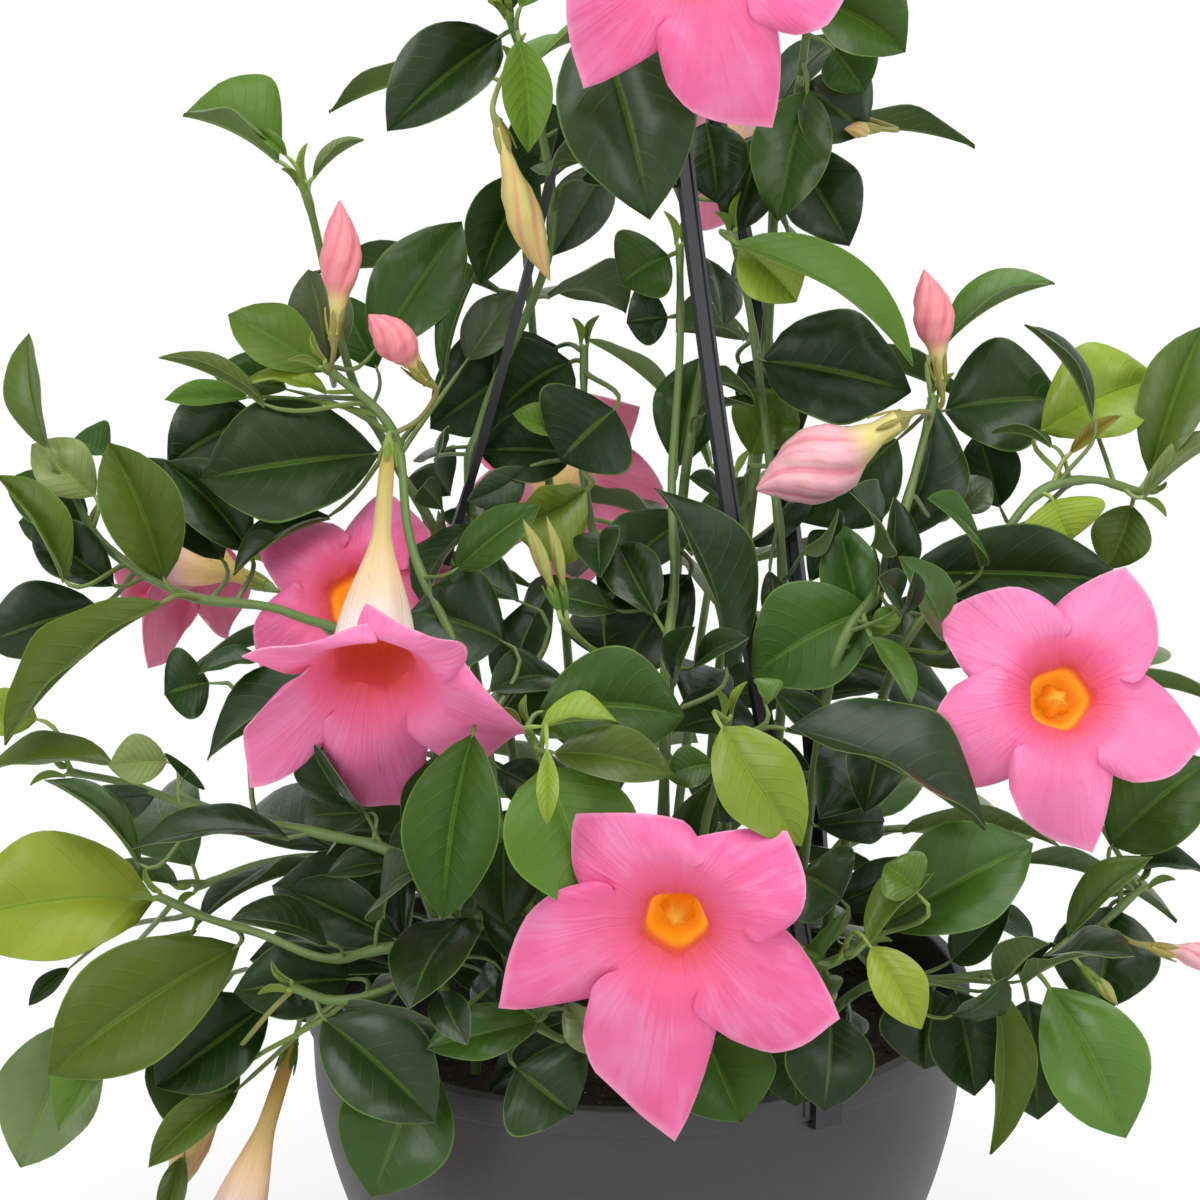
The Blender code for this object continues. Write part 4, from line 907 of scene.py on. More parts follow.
class Skin:
    """The surface of one piece: points, faces with their finish, and what the finishes read at each point."""

    def __init__(self) -> None:
        """Start with nothing."""
        self.points: list[Vector] = []
        self.faces: list[Face] = []
        self.finish_of: list[int] = []
        self.blade: list[Colour] = []
        self.tint: list[tuple[float, float, float, float]] = []

    def add(self, points: Sequence[Vector], faces: Iterable[Face], finish: int = 0,
            blade: Sequence[Colour] = (), tint: Colour = WHITE) -> None:
        """Add points and the faces between them.

        Args:
            points: The new points.
            faces: The faces, whose corners count from the first new point.
            finish: The number of the finish on the piece.
            blade: The leaf coordinates of each point, which are 0 where none are given.
            tint: The colour of all of them.
        """
        start = len(self.points)
        self.points.extend(points)
        self.blade.extend(blade or [BLACK] * len(points))
        self.tint.extend([(*tint, 1.0)] * len(points))
        self.join(faces, finish, start)

    def join(self, faces: Iterable[Face], finish: int, start: int) -> None:
        """Add faces between points that are there, whose corners count from a start."""
        for face in faces:
            self.faces.append(tuple(start + corner for corner in face))
            self.finish_of.append(finish)

    def tube(self, path: Sequence[Vector], radii: Sequence[float], sides: int, finish: int, tint: Colour,
             number: float = 0.0) -> None:
        """Add a closed round tube.

        Args:
            path: Its middle line.
            radii: Its radius at each point.
            sides: How many sides it has.
            finish: The number of the finish.
            tint: Its colour.
            number: The third leaf coordinate.
        """
        points: list[Vector] = []
        blade = []
        for index, (_, across, other) in enumerate(frames_along(path)):
            for side in range(sides):
                angle = TURN * side / sides
                around = across * math.cos(angle) + other * math.sin(angle)
                points.append(path[index] + around * radii[index])
                blade.append((1 - index / (len(path) - 1), side / sides, number))
        self.add(points, closed_rings(len(path), sides), finish, blade, tint)

    def sheet(self, points: Sequence[Vector], faces: Sequence[Face], thickness: float,
              blade: Sequence[Colour], tint: Colour) -> None:
        """Add a closed thin sheet, with finish 0 on its face and 1 on its back and edges.

        Args:
            points: The points of its middle.
            faces: The faces of its middle, of four corners each, which look to its face side.
            thickness: How thick it is.
            blade: The leaf coordinates of each point.
            tint: Its colour.
        """
        normals = [Vector() for _ in points]
        edges: dict[tuple[int, int], bool] = {}
        for corners in faces:
            way = (points[corners[2]] - points[corners[0]]).cross(points[corners[3]] - points[corners[1]])
            for near, beside in zip(corners, corners[1:] + corners[:1]):
                normals[near] += way
                edges[(near, beside)] = True
        half = [normal.normalized() * thickness / 2 for normal in normals]
        start, count = len(self.points), len(points)
        both = [point + out for point, out in zip(points, half)]
        both += [point - out for point, out in zip(points, half)]
        self.add(both, faces, 0, [*blade, *blade], tint)
        self.join((tuple(reversed(corners)) for corners in faces), 1, start + count)
        self.join(((beside, near, near + count, beside + count) for near, beside in edges
                   if (beside, near) not in edges), 1, start)

    def piece(self, name: str, finishes: Sequence[Material], slot: str, *nodes: str,
              sharp: float = 42.0) -> Piece:
        """Make the object, which rides on the root and stands for the CAD nodes.

        Args:
            name: The piece's name.
            finishes: Its materials, in the order of the numbers that its faces use.
            slot: The record's material slot; it is not used.
            *nodes: The CAD nodes that it stands for.
            sharp: The least angle between faces, in degrees, that shows as an edge.

        Returns:
            The object.
        """
        mesh = bpy.data.meshes.new(name)
        mesh.from_pydata(self.points, [], self.faces)
        blade = mesh.attributes.new("blade", "FLOAT_VECTOR", "POINT")
        blade.data.foreach_set("vector", [part for row in self.blade for part in row])
        tint = mesh.attributes.new("tint", "FLOAT_COLOR", "POINT")
        tint.data.foreach_set("color", [part for row in self.tint for part in row])
        for finish in finishes:
            mesh.materials.append(finish)
        mesh.polygons.foreach_set("material_index", self.finish_of)
        mesh.polygons.foreach_set("use_smooth", [True] * len(mesh.polygons))
        mesh.set_sharp_from_angle(angle=math.radians(sharp))
        mesh.update()
        item = bpy.data.objects.new(name, mesh)
        bpy.context.scene.collection.objects.link(item)
        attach(item, "root")
        if nodes:
            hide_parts(*nodes)
        LOG.info("%s: %d points, %d faces", name, len(mesh.vertices), len(mesh.polygons))
        return item


def closed_rings(rings: int, sides: int) -> list[Face]:
    """Return the faces between rings of points, with a cap at each end.

    Args:
        rings: How many rings there are.
        sides: How many points each has.

    Returns:
        The faces.
    """
    faces: list[Face] = [tuple(reversed(range(sides)))]
    for ring in range(rings - 1):
        for side in range(sides):
            near, beside = ring * sides + side, ring * sides + (side + 1) % sides
            faces.append((near, beside, beside + sides, near + sides))
    last = (rings - 1) * sides
    faces.append(tuple(range(last, last + sides)))
    return faces


def turned_rings(rings: int, steps: int) -> list[Face]:
    """Return the faces of a turned surface: one point on its axis, and then rings of points round it.

    Args:
        rings: How many rings there are.
        steps: How many points each has.

    Returns:
        The faces, left open at the last ring.
    """
    faces: list[Face] = []
    for step in range(steps):
        after = (step + 1) % steps
        faces.append((0, 1 + step, 1 + after))
        for ring in range(rings - 1):
            near, beside = 1 + ring * steps + step, 1 + ring * steps + after
            faces.append((near, near + steps, beside + steps, beside))
    return faces


def bearing_way(bearing: float) -> Vector:
    """Return the level way out at a bearing, in degrees from the front round to the right."""
    angle = math.radians(bearing)
    return Vector((math.sin(angle), -math.cos(angle), 0))


def circle(radius: float, height: float, steps: int) -> list[Vector]:
    """Return evenly spaced points of a level circle round the pot's axis."""
    angles = [TURN * step / steps for step in range(steps)]
    return [Vector((radius * math.cos(angle), radius * math.sin(angle), height)) for angle in angles]


class Clearing:
    """The solids placed so far, sorted into cells, against which each new piece is tried."""

    clearance = 0.4 * MM
    cell = 30 * MM

    def __init__(self) -> None:
        """Start with nothing."""
        self.placed: list[tuple[str, BVHTree]] = []
        self.sorted: dict[Cell, list[int]] = {}
        self.shapes: list[Shape] = []

    def cells_of(self, points: Sequence[Vector]) -> Iterator[Cell]:
        """Return the cells that the box round some points reaches into."""
        spans = []
        for axis in range(3):
            places = [point[axis] for point in points]
            spans.append(range(math.floor((min(places) - self.clearance) / self.cell),
                               math.floor((max(places) + self.clearance) / self.cell) + 1))
        return itertools.product(*spans)

    def add(self, owner: str, shape: Shape) -> None:
        """Keep a shape that belongs to the named piece."""
        for cell in self.cells_of(shape[0]):
            self.sorted.setdefault(cell, []).append(len(self.placed))
        self.placed.append((owner, BVHTree.FromPolygons(*shape, epsilon=self.clearance)))
        self.shapes.append(shape)

    def touches(self, shape: Shape, own: str | None = None) -> bool:
        """Say whether a new shape touches a placed one, its own piece's left aside.

        Args:
            shape: The new shape.
            own: The piece that it belongs to.

        Returns:
            Whether it touches one.
        """
        near = {index for cell in self.cells_of(shape[0]) for index in self.sorted.get(cell, ())}
        tree = BVHTree.FromPolygons(*shape, epsilon=self.clearance)
        return any(owner != own and tree.overlap(other)
                   for owner, other in (self.placed[index] for index in near))


# ---- Leaves ----


@dataclass(frozen=True)
class Leaf:
    """One leaf: a curved stalk and a thin closed blade with a midrib, an arch, a fold and a drawn-out tip."""

    foot: Vector
    base: Vector
    tip: Vector
    facing: Vector
    width: float
    fold: float
    tone: Tone
    seed: float
    rows: int = 15
    arch: float = 0.09
    thickness: float = 0.45 * MM
    stalk_radius: float = 0.95 * MM
    columns: tuple[float, ...] = (-1.0, -0.82, -0.55, -0.28, -0.08, 0.0, 0.08, 0.28, 0.55, 0.82, 1.0)

    @property
    def axis(self) -> Vector:
        """The way from the base to the tip."""
        return (self.tip - self.base).normalized()

    @property
    def normal(self) -> Vector:
        """The way that the upper face looks."""
        return (self.facing - self.axis * self.facing.dot(self.axis)).normalized()

    def test_shape(self) -> Shape:
        """Return the leaf as a coarse solid, as it stands in the frame."""
        half = 0.65 * MM
        length = (self.tip - self.base).length
        axis, normal = self.axis, self.normal
        stalk = (self.base - self.foot).normalized()
        points: list[Vector] = []

        def ring(centre: Vector, along: Vector, across: float, lift: float) -> None:
            out = (normal - along * normal.dot(along)).normalized()
            side = along.cross(out)
            rise = out * math.sin(lift)
            left, right = rise - side * math.cos(lift), rise + side * math.cos(lift)
            points.extend([centre + left * across, centre + out * half, centre + right * across,
                           centre - out * half])

        ring(self.foot, stalk, 0.8 * MM, 0)
        ring(self.base, (stalk + axis).normalized(), 0.8 * MM, 0)
        for share, spread in ((0.2, 0.72), (0.5, 1.0), (0.8, 0.62)):
            centre = self.base + axis * length * share + normal * length * self.arch * 4 * share * (1 - share)
            ring(centre, axis, self.width / 2 * spread, self.fold)
        faces = closed_rings(5, 4)[:-1]
        points.append(self.tip)
        faces.extend((16 + step, 16 + (step + 1) % 4, 20) for step in range(4))
        return points, faces

    def crosses_itself(self) -> bool:
        """Say whether two faces of the coarse solid that share no corner meet."""
        shape = self.test_shape()
        tree = BVHTree.FromPolygons(*shape)
        faces = shape[1]
        return any(not set(faces[one]) & set(faces[other]) for one, other in tree.overlap(tree))

    @staticmethod
    def spread(share: float, belly: float) -> float:
        """Return how broad the blade is at a place along it.

        Args:
            share: The place, from 0 at the base to 1.
            belly: Where it is widest: below 1 is nearer to the base.

        Returns:
            Its share of the greatest width.
        """
        def body(place: float) -> float:
            return math.sin(math.pi * place ** belly) ** 0.66 * (1 - 0.14 * step_between(0.55, 1.0, place))

        shoulder = 0.90
        if share < shoulder:
            return body(share)
        rest = (1 - share) / (1 - shoulder)
        return body(shoulder) * (0.86 * rest ** 1.35 + 0.14 * rest)

    def add_to(self, skin: Skin, top: int, under: int, stalk: int) -> None:
        """Add the leaf to a piece.

        Args:
            skin: The piece.
            top: The number of the upper face's finish.
            under: The number of the underside's finish.
            stalk: The number of the stalk's finish.
        """
        rng = random.Random(self.seed)
        axis, normal = self.axis, self.normal
        side = axis.cross(normal)
        length = (self.tip - self.base).length
        belly = rng.uniform(0.90, 1.14)
        wave, waves, phase = rng.uniform(0.02, 0.075), rng.uniform(1.2, 2.6), rng.uniform(0, TURN)
        sweep, twist = rng.uniform(-0.035, 0.035), rng.uniform(-0.22, 0.22)
        droop, bulge = rng.uniform(0.0, 0.05), rng.uniform(0.05, 0.15)
        tint = self.varied(rng)
        top_points, under_points, blade = [], [], []
        for row in range(self.rows + 1):
            share = row / self.rows
            share = share + 0.035 * math.sin(TURN * share)
            half = max(self.width / 2 * self.spread(min(share, 1.0), belly), 0.5 * MM * (1.05 - share))
            rise = self.arch * 4 * share * (1 - share) - droop * share ** 3 * (1 - share)
            centre = (self.base + axis * length * share + normal * length * rise
                      + side * length * sweep * 4 * share * (1 - share))
            turn = twist * (share - 0.5)
            out = normal * math.cos(turn) + side * math.sin(turn)
            over = side * math.cos(turn) - normal * math.sin(turn)
            rib = self.thickness * (0.55 + 1.1 * (1 - share))
            for column in self.columns:
                away = abs(column)
                lift = half * away * math.sin(self.fold)
                lift += half * bulge * 4 * away * (1 - away)
                lift += self.width / 2 * wave * math.sin(TURN * waves * share + phase
                                                         + (2.1 if column > 0 else 0)) * away ** 2
                lift -= 0.35 * MM * math.exp(-(away * half / (0.9 * MM)) ** 2) * (1 - share)
                spot = centre + over * half * column * math.cos(self.fold) + out * lift
                thin = self.thickness * (0.5 - 0.25 * away)
                top_points.append(spot + out * thin)
                low = thin + (rib if column == 0 else 0)
                under_points.append(spot - out * low)
                blade.append((share, column, self.seed % 1.0))
        count = len(self.columns)
        total = len(top_points)
        top_faces, under_faces, rim_faces = [], [], []
        for row in range(self.rows):
            for step in range(count - 1):
                near = row * count + step
                top_faces.append((near, near + count, near + count + 1, near + 1))
                under_faces.append((near, near + 1, near + count + 1, near + count))
            left, right = row * count, row * count + count - 1
            rim_faces.append((left, left + total, left + count + total, left + count))
            rim_faces.append((right, right + count, right + count + total, right + total))
        for step in range(count - 1):
            last = self.rows * count + step
            rim_faces.append((step, step + 1, step + 1 + total, step + total))
            rim_faces.append((last, last + total, last + 1 + total, last + 1))
        start = len(skin.points)
        skin.add(top_points + under_points, top_faces, top, blade + blade, tint)
        skin.join(under_faces, under, start + total)
        skin.join(rim_faces, under, start)
        self.add_stalk(skin, stalk, tint)

    def add_stalk(self, skin: Skin, finish: int, tint: Colour) -> None:
        """Add the leaf's stalk, which ends just inside the blade.

        Args:
            skin: The piece.
            finish: The number of the stalk's finish.
            tint: The blade's colour, of which the stalk's is a paler one.
        """
        axis, normal = self.axis, self.normal
        length = (self.tip - self.base).length
        reach = (self.base - self.foot).length
        inside = axis * min(3 * MM, length * 0.05) + normal * length * 0.012 - normal * self.thickness
        path = bezier([self.foot, self.foot.lerp(self.base, 0.35) + normal * reach * 0.06,
                       self.base - axis * reach * 0.4, self.base + inside], 8)
        radii = [self.stalk_radius * (1.15 - 0.3 * index / 7) for index in range(7)] + [0.35 * MM]
        pale = tuple(0.5 * part + 0.5 * other for part, other in zip(tint, (0.26, 0.36, 0.09)))
        skin.tube(path, radii, 6, finish, pale, 0.2)

    def varied(self, rng: random.Random) -> Colour:
        """Return the leaf's own colour: its tone, a little lighter or darker and warmer or cooler."""
        value, warmth = rng.uniform(0.80, 1.22), rng.uniform(-0.12, 0.16)
        red, green, blue = self.tone.value
        return (red * value * (1 + warmth), green * value, blue * value * (1 - warmth))


# ---- Shoots ----


@dataclass
class Shoot:
    """One shoot: its stem, the leaves on it and the stalks and calyces of its flowers and buds."""

    name: str
    path: list[Vector]
    plans: list[LeafPlan]
    ends: list[tuple[Vector, Vector, float, float]] = field(default_factory=list)
    leaves: list[Leaf] = field(default_factory=list)
    stem_radius: float = 2.0 * MM
    tip_radius: float = 1.3 * MM
    stalk_radius: float = 1.0 * MM
    calyx_length: float = 7.3 * MM
    seat_gap: float = 0.3 * MM
    stem_samples: int = 44
    stem_sides: int = 9
    skin_colour: Colour = (0.13, 0.21, 0.05)
    calyx_colour: Colour = (0.24, 0.34, 0.08)
    ripe_calyx_colour: Colour = (0.34, 0.12, 0.05)
    sepals: int = 5

    @property
    def fine_path(self) -> list[Vector]:
        """The stem's middle line as a fine smooth curve."""
        return [self.path[0], *smooth_path(self.path[1:], self.stem_samples)]

    def seat_on(self, point: Vector) -> Vector:
        """Return the point of the stem's middle line that is nearest to a point."""
        fine = self.fine_path
        spots = [start.lerp(end, 0.5) for start, end in zip(fine[1:], fine[2:])]
        return min(spots, key=lambda spot: (spot - point).length)

    def stalk_line(self, end: Vector, direction: Vector) -> list[Vector]:
        """Return where a flower's stalk leaves the stem, where its calyx starts and where the flower sits."""
        below = end - direction * self.calyx_length
        return [self.seat_on(below), below, end - direction * self.seat_gap]

    def dress(self, finishes: Sequence[Material]) -> Piece:
        """Build the shoot.

        Args:
            finishes: The leaf's upper face, its underside, the stem's skin.

        Returns:
            The piece.
        """
        skin = Skin()
        self.add_stem(skin)
        for end, direction, radius, green in self.ends:
            self.add_flower_stalk(skin, end, direction, radius, green)
        for leaf in self.leaves:
            leaf.add_to(skin, 0, 1, 2)
        self.add_growing_tip(skin)
        return skin.piece(self.name + "_grown", finishes, "foliage", self.name)

    def add_stem(self, skin: Skin) -> None:
        """Add the stem, a little thicker where each leaf stalk leaves it."""
        fine = self.fine_path
        feet = [leaf.foot for leaf in self.leaves]
        radii = []
        for index, spot in enumerate(fine):
            radius = self.stem_radius + (self.tip_radius - self.stem_radius) * index / (len(fine) - 1)
            near = min(((spot - foot).length for foot in feet), default=1.0)
            radii.append(radius * (1 + 0.35 * math.exp(-(near / (3 * MM)) ** 2)))
        skin.tube(fine, radii, self.stem_sides, 2, self.skin_colour, 0.5)

    def add_growing_tip(self, skin: Skin) -> None:
        """Add the pair of very young leaves at the stem's end."""
        rng = random.Random(self.name + "_tip")
        fine = self.fine_path
        end, way = fine[-1], (fine[-1] - fine[-3]).normalized()
        across = way.orthogonal().normalized()
        for hand in (1, -1):
            lead = (way + across * hand * 0.55).normalized()
            base = end + way * 1 * MM + across * hand * 1.5 * MM
            tip = base + lead * rng.uniform(9, 14) * MM
            Leaf(end - way * 2 * MM, base, tip, (way - across * hand).normalized(), 4.5 * MM,
                 math.radians(40), Tone.LIME, rng.random()).add_to(skin, 0, 1, 2)

    def add_flower_stalk(self, skin: Skin, end: Vector, direction: Vector, radius: float, green: float
                         ) -> None:
        """Add the stalk to a flower or bud, and the calyx of narrow sepals that holds its foot.

        Args:
            skin: The piece.
            end: The flower's foot.
            direction: The way that the flower grows.
            radius: The radius of the flower's foot.
            green: How green the calyx is.
        """
        foot, below, seat = self.stalk_line(end, direction)
        middle = foot.lerp(below, 0.5) - direction * 3 * MM
        path = smooth_path([foot, middle, below, seat], 16)
        thin = self.stalk_radius
        radii = [thin + (radius - thin) * step_between(0.72, 1.0, index / 15) for index in range(16)]
        colour = tuple(a * green + b * (1 - green) for a, b in zip(self.calyx_colour, self.ripe_calyx_colour))
        mixed = tuple(0.6 * a + 0.4 * b for a, b in zip(self.calyx_colour, colour))
        skin.tube(path, radii, 8, 2, mixed, 0.3)
        across = direction.orthogonal().normalized()
        other = direction.cross(across)
        for sepal in range(self.sepals):
            angle = TURN * sepal / self.sepals
            out = across * math.cos(angle) + other * math.sin(angle)
            base = end + out * radius * 0.9 - direction * 2.2 * MM
            tip = end + out * (radius + 1.6 * MM) + direction * 9.5 * MM
            Leaf(end - direction * 2 * MM, base, tip, out + direction * 0.2, 2.9 * MM, math.radians(-28),
                 Tone.LIGHT if green > 0.5 else Tone.BRONZE, 0.37 + sepal / 9, rows=7, arch=0.05,
                 thickness=0.35 * MM, stalk_radius=0.5 * MM).add_to(skin, 2, 2, 2)


@dataclass
class Planting:
    """Lays out the shoots, flowers and buds, and finds each leaf a place that is clear of the rest."""

    board: Board
    mix_level: float
    seat_gap: float = 0.3 * MM
    root_rise: float = 9 * MM
    stem_points: int = 6
    layer_depth: float = 12
    lean: float = 0.2
    stalk_lead: float = 8 * MM
    foot_steps: int = 9
    foot_spacing: float = 2.6 * MM
    grown_stalk: float = 12 * MM
    grown_droop: float = 0.25
    grown_fold: float = math.radians(18)
    back_root: float = 40
    back_leaf: Pair = (66 * MM, 36 * MM)
    inner_leaf_size: Pair = (56 * MM, 32 * MM)

    def __post_init__(self) -> None:
        """Start the clearing that every leaf is tried in."""
        self.clearing = Clearing()

    def stem_path(self, x: float, y: float, points: Sequence[Vector]) -> list[Vector]:
        """Return a stem's path: straight up out of the mix, then a smooth curve through the points."""
        root = Vector((x, y, self.mix_level + self.seat_gap))
        return [root, *smooth_path([root + UP * self.root_rise, *points], self.stem_points)]

    def flowers(self) -> list[FlowerPlan]:
        """Return every flower's place and sizes."""
        plans = []
        for name, shoot, centre, facing, radius, tube, turn, sag, throat, paleness in FLOWERS:
            direction = self.board.direction(*facing)
            foot = self.board.point(*centre) - direction * tube * MM
            plans.append(FlowerPlan(name, shoot, foot, direction, radius * MM, tube * MM, math.radians(turn),
                                    sag, throat * MM, paleness))
        return plans

    def buds(self) -> list[BudPlan]:
        """Return every bud's place and size."""
        point = self.board.point
        return [BudPlan(name, shoot, point(*foot), point(*tip), radius * MM, tint, green)
                for name, shoot, foot, tip, radius, tint, green in BUDS]

    def front_shoots(self) -> list[Shoot]:
        """Return the shoots that the layout gives, with their leaves as drawn."""
        shoots = []
        for name, root, stem, rows in SHOOTS:
            path = self.stem_path(root[0] * MM, root[1] * MM, [self.board.point(*point) for point in stem])
            plans = []
            for base_x, base_up, tip_x, tip_up, width, fold, layer, tone, *facing in rows:
                front = self.board.front((base_x + tip_x) / 2, (base_up + tip_up) / 2)
                front -= self.layer_depth * layer
                lean = -self.lean * (tip_up - base_up)
                toward = Facing[facing[0].upper()] if facing else Facing.FRONT
                plans.append(LeafPlan(
                    (base_x, base_up, front - lean), (tip_x, tip_up, front + lean), width * MM,
                    self.board.direction(*toward.value), math.radians(fold), Tone[tone.upper()]))
            plans.append(self.inner_leaf(name, path))
            shoots.append(Shoot(name, path, plans))
        return shoots

    def grown_leaf(self, start: Vector, direction: Vector, outward: Vector, length: float, width: float,
                   tone: Tone) -> LeafPlan:
        """Return a leaf that grows by rule.

        Args:
            start: The point of the stem that it grows from.
            direction: The way that it grows.
            outward: The way out from the plant's middle.
            length: The blade's length.
            width: Its width.
            tone: Its tone.

        Returns:
            The leaf's plan.
        """
        base = start + direction * self.grown_stalk
        tip = base + (direction - UP * self.grown_droop).normalized() * length
        return LeafPlan(base, tip, width, (outward * 0.6 + UP).normalized(), self.grown_fold, tone)

    def inner_leaf(self, name: str, path: Sequence[Vector]) -> LeafPlan:
        """Return a leaf low on a front shoot, inside the plant, in the dark tone that partly paints the shade
        there.
        """
        rng = random.Random(name)
        start = path[1].lerp(path[2], rng.random())
        outward = Vector((start.x, start.y, 0)).normalized()
        across = UP.cross(outward)
        direction = outward * rng.uniform(-0.3, 0.5) - across + UP * rng.uniform(0, 0.6)
        return self.grown_leaf(start, direction.normalized(), outward, *self.inner_leaf_size, Tone.DARK)

    def back_shoots(self) -> list[Shoot]:
        """Return the shoots round the back, whose leaves grow in pairs."""
        shoots = []
        for name, (bearing, profile, count) in BACK_SHOOTS.items():
            rng = random.Random(name)
            outward = bearing_way(bearing)
            across = UP.cross(outward)
            root = outward * self.back_root * MM
            path = self.stem_path(root.x, root.y, [outward * radius * MM + UP * height * MM
                                                   for radius, height in profile])
            plans = []
            tones = random.Random(name + "_tones")
            for index in range(count):
                share = 1 - 0.72 * (index // 2) / (count // 2 - 1)
                along = share * (len(path) - 1)
                span = min(int(along), len(path) - 2)
                start = path[span].lerp(path[span + 1], min(along - span, 0.94))
                hand = 1 if index % 2 else -1
                way = across * hand * 0.8 + outward * rng.uniform(0.35, 0.8)
                lift = UP * rng.uniform(-0.1, 0.4)
                scale = rng.uniform(0.85, 1.1)
                tone = tones.choice([Tone.LIGHT, Tone.MID]) if index < 2 else tones.choice(
                    [Tone.DARK, Tone.MID, Tone.DARK, Tone.OLIVE])
                plans.append(self.grown_leaf(start, (way + lift).normalized(), outward,
                                             self.back_leaf[0] * scale, self.back_leaf[1] * scale, tone))
            shoots.append(Shoot(name, path, plans))
        return shoots

    def foot_for(self, path: Sequence[Vector], point: Vector, taken: Sequence[Vector]) -> Vector:
        """Return the place on a stem that is nearest to a point and a little apart from those taken."""
        spots = [start.lerp(end, (step + 0.5) / self.foot_steps)
                 for start, end in zip(path[1:], path[2:]) for step in range(self.foot_steps)]
        free = [spot for spot in spots if all((spot - other).length > self.foot_spacing for other in taken)]
        return min(free or spots, key=lambda spot: (spot - point).length)

    def place(self, shoot: Shoot, plan: LeafPlan, seed: float, shifts: Sequence[float]) -> Leaf | None:
        """Find a leaf its place, and keep it.

        Args:
            shoot: The shoot that it grows on.
            plan: Where it should grow.
            seed: What its own small differences follow from.
            shifts: How far nearer it is tried, in millimetres.

        Returns:
            The leaf, or None where every place is taken.
        """
        taken = [leaf.foot for leaf in shoot.leaves]
        for shift in shifts:
            if isinstance(plan.base, tuple):
                base = self.board.point(plan.base[0], plan.base[1], plan.base[2] + shift)
                tip = self.board.point(plan.tip[0], plan.tip[1], plan.tip[2] + shift)
            else:
                base = plan.base.copy()
                tip = plan.tip + UP * shift * MM
            tip = base + (tip - base) * plan.scale
            axis = (tip - base).normalized()
            foot = self.foot_for(shoot.path, base - axis * self.stalk_lead, taken)
            base += axis * max(self.stalk_lead / 2 - (base - foot).dot(axis), 0)
            leaf = Leaf(shoot.seat_on(foot), base, tip, plan.facing, plan.width * plan.scale, plan.fold,
                        plan.tone, seed)
            if not self.clearing.touches(leaf.test_shape(), shoot.name) and not leaf.crosses_itself():
                self.clearing.add(shoot.name, leaf.test_shape())
                shoot.leaves.append(leaf)
                return leaf
        return None


class Sight:
    """What can be seen from one side: which cells of a picture of the plant are covered."""

    cell = 4.0

    def __init__(self) -> None:
        """Start with nothing covered. A cell's side is in millimetres."""
        self.covered: set[Cell] = set()

    def drawn_at(self, point: Vector) -> Pair:
        """Return the x and up, in millimetres, at which a point is drawn."""
        raise NotImplementedError

    def depth_of(self, point: Vector) -> float:
        """Return how near to the viewer a point is, in millimetres from the pot's axis."""
        raise NotImplementedError

    def point(self, x: float, up: float, depth: float) -> Vector:
        """Return the point that is drawn at x, up and lies at this depth."""
        raise NotImplementedError

    def cells_of(self, corners: Sequence[Vector]) -> set[Cell]:
        """Return the cells whose middle lies inside a flat shape.

        Args:
            corners: The shape's corners, in order.

        Returns:
            The cells.
        """
        drawn = [self.drawn_at(corner) for corner in corners]
        low_x, high_x = min(x for x, _ in drawn), max(x for x, _ in drawn)
        low_up, high_up = min(up for _, up in drawn), max(up for _, up in drawn)
        found = set()
        for column in range(int(low_x // self.cell), int(high_x // self.cell) + 1):
            for row in range(int(low_up // self.cell), int(high_up // self.cell) + 1):
                if inside_outline(((column + 0.5) * self.cell, (row + 0.5) * self.cell), drawn):
                    found.add((column, row))
        return found

    def cover(self, shape: Shape) -> None:
        """Mark the cells that a solid's faces hide."""
        for face in shape[1]:
            self.covered |= self.cells_of([shape[0][corner] for corner in face])


class FrontSight(Sight):
    """The plant as the layout board shows it."""

    def __init__(self, board: Board) -> None:
        """Look along the board."""
        super().__init__()
        self.board = board

    def drawn_at(self, point: Vector) -> Pair:
        """Return the x and up, in millimetres, at which a point is drawn."""
        return self.board.drawn_at(point)

    def depth_of(self, point: Vector) -> float:
        """Return how near to the viewer a point is."""
        return -point.y / MM

    def point(self, x: float, up: float, depth: float) -> Vector:
        """Return the point that is drawn at x, up and lies at this depth."""
        return self.board.point(x, up, depth)


class SideSight(Sight):
    """The plant from afar at a bearing, a little from above."""

    drop = 0.26

    def __init__(self, bearing: float) -> None:
        """Look from a bearing. A nearer point is drawn lower by the drop, for each millimetre."""
        super().__init__()
        self.toward = bearing_way(bearing)
        self.across = UP.cross(self.toward)

    def drawn_at(self, point: Vector) -> Pair:
        """Return the x and up, in millimetres, at which a point is drawn."""
        return point.dot(self.across) / MM, (point.z - self.drop * point.dot(self.toward)) / MM

    def depth_of(self, point: Vector) -> float:
        """Return how near to the viewer a point is."""
        return point.dot(self.toward) / MM

    def point(self, x: float, up: float, depth: float) -> Vector:
        """Return the point that is drawn at x, up and lies at this depth."""
        return (self.across * x + self.toward * depth + UP * (up + self.drop * depth)) * MM


def inside_outline(spot: Pair, outline: Sequence[Pair]) -> bool:
    """Say whether a spot (x, up) lies inside an outline.

    Args:
        spot: The spot.
        outline: The outline's corners.

    Returns:
        Whether it does.
    """
    inside = False
    x, up = spot
    for (ax, ay), (bx, by) in zip(outline, [*outline[1:], outline[0]]):
        if (ay > up) != (by > up) and x < ax + (bx - ax) * (up - ay) / (by - ay):
            inside = not inside
    return inside


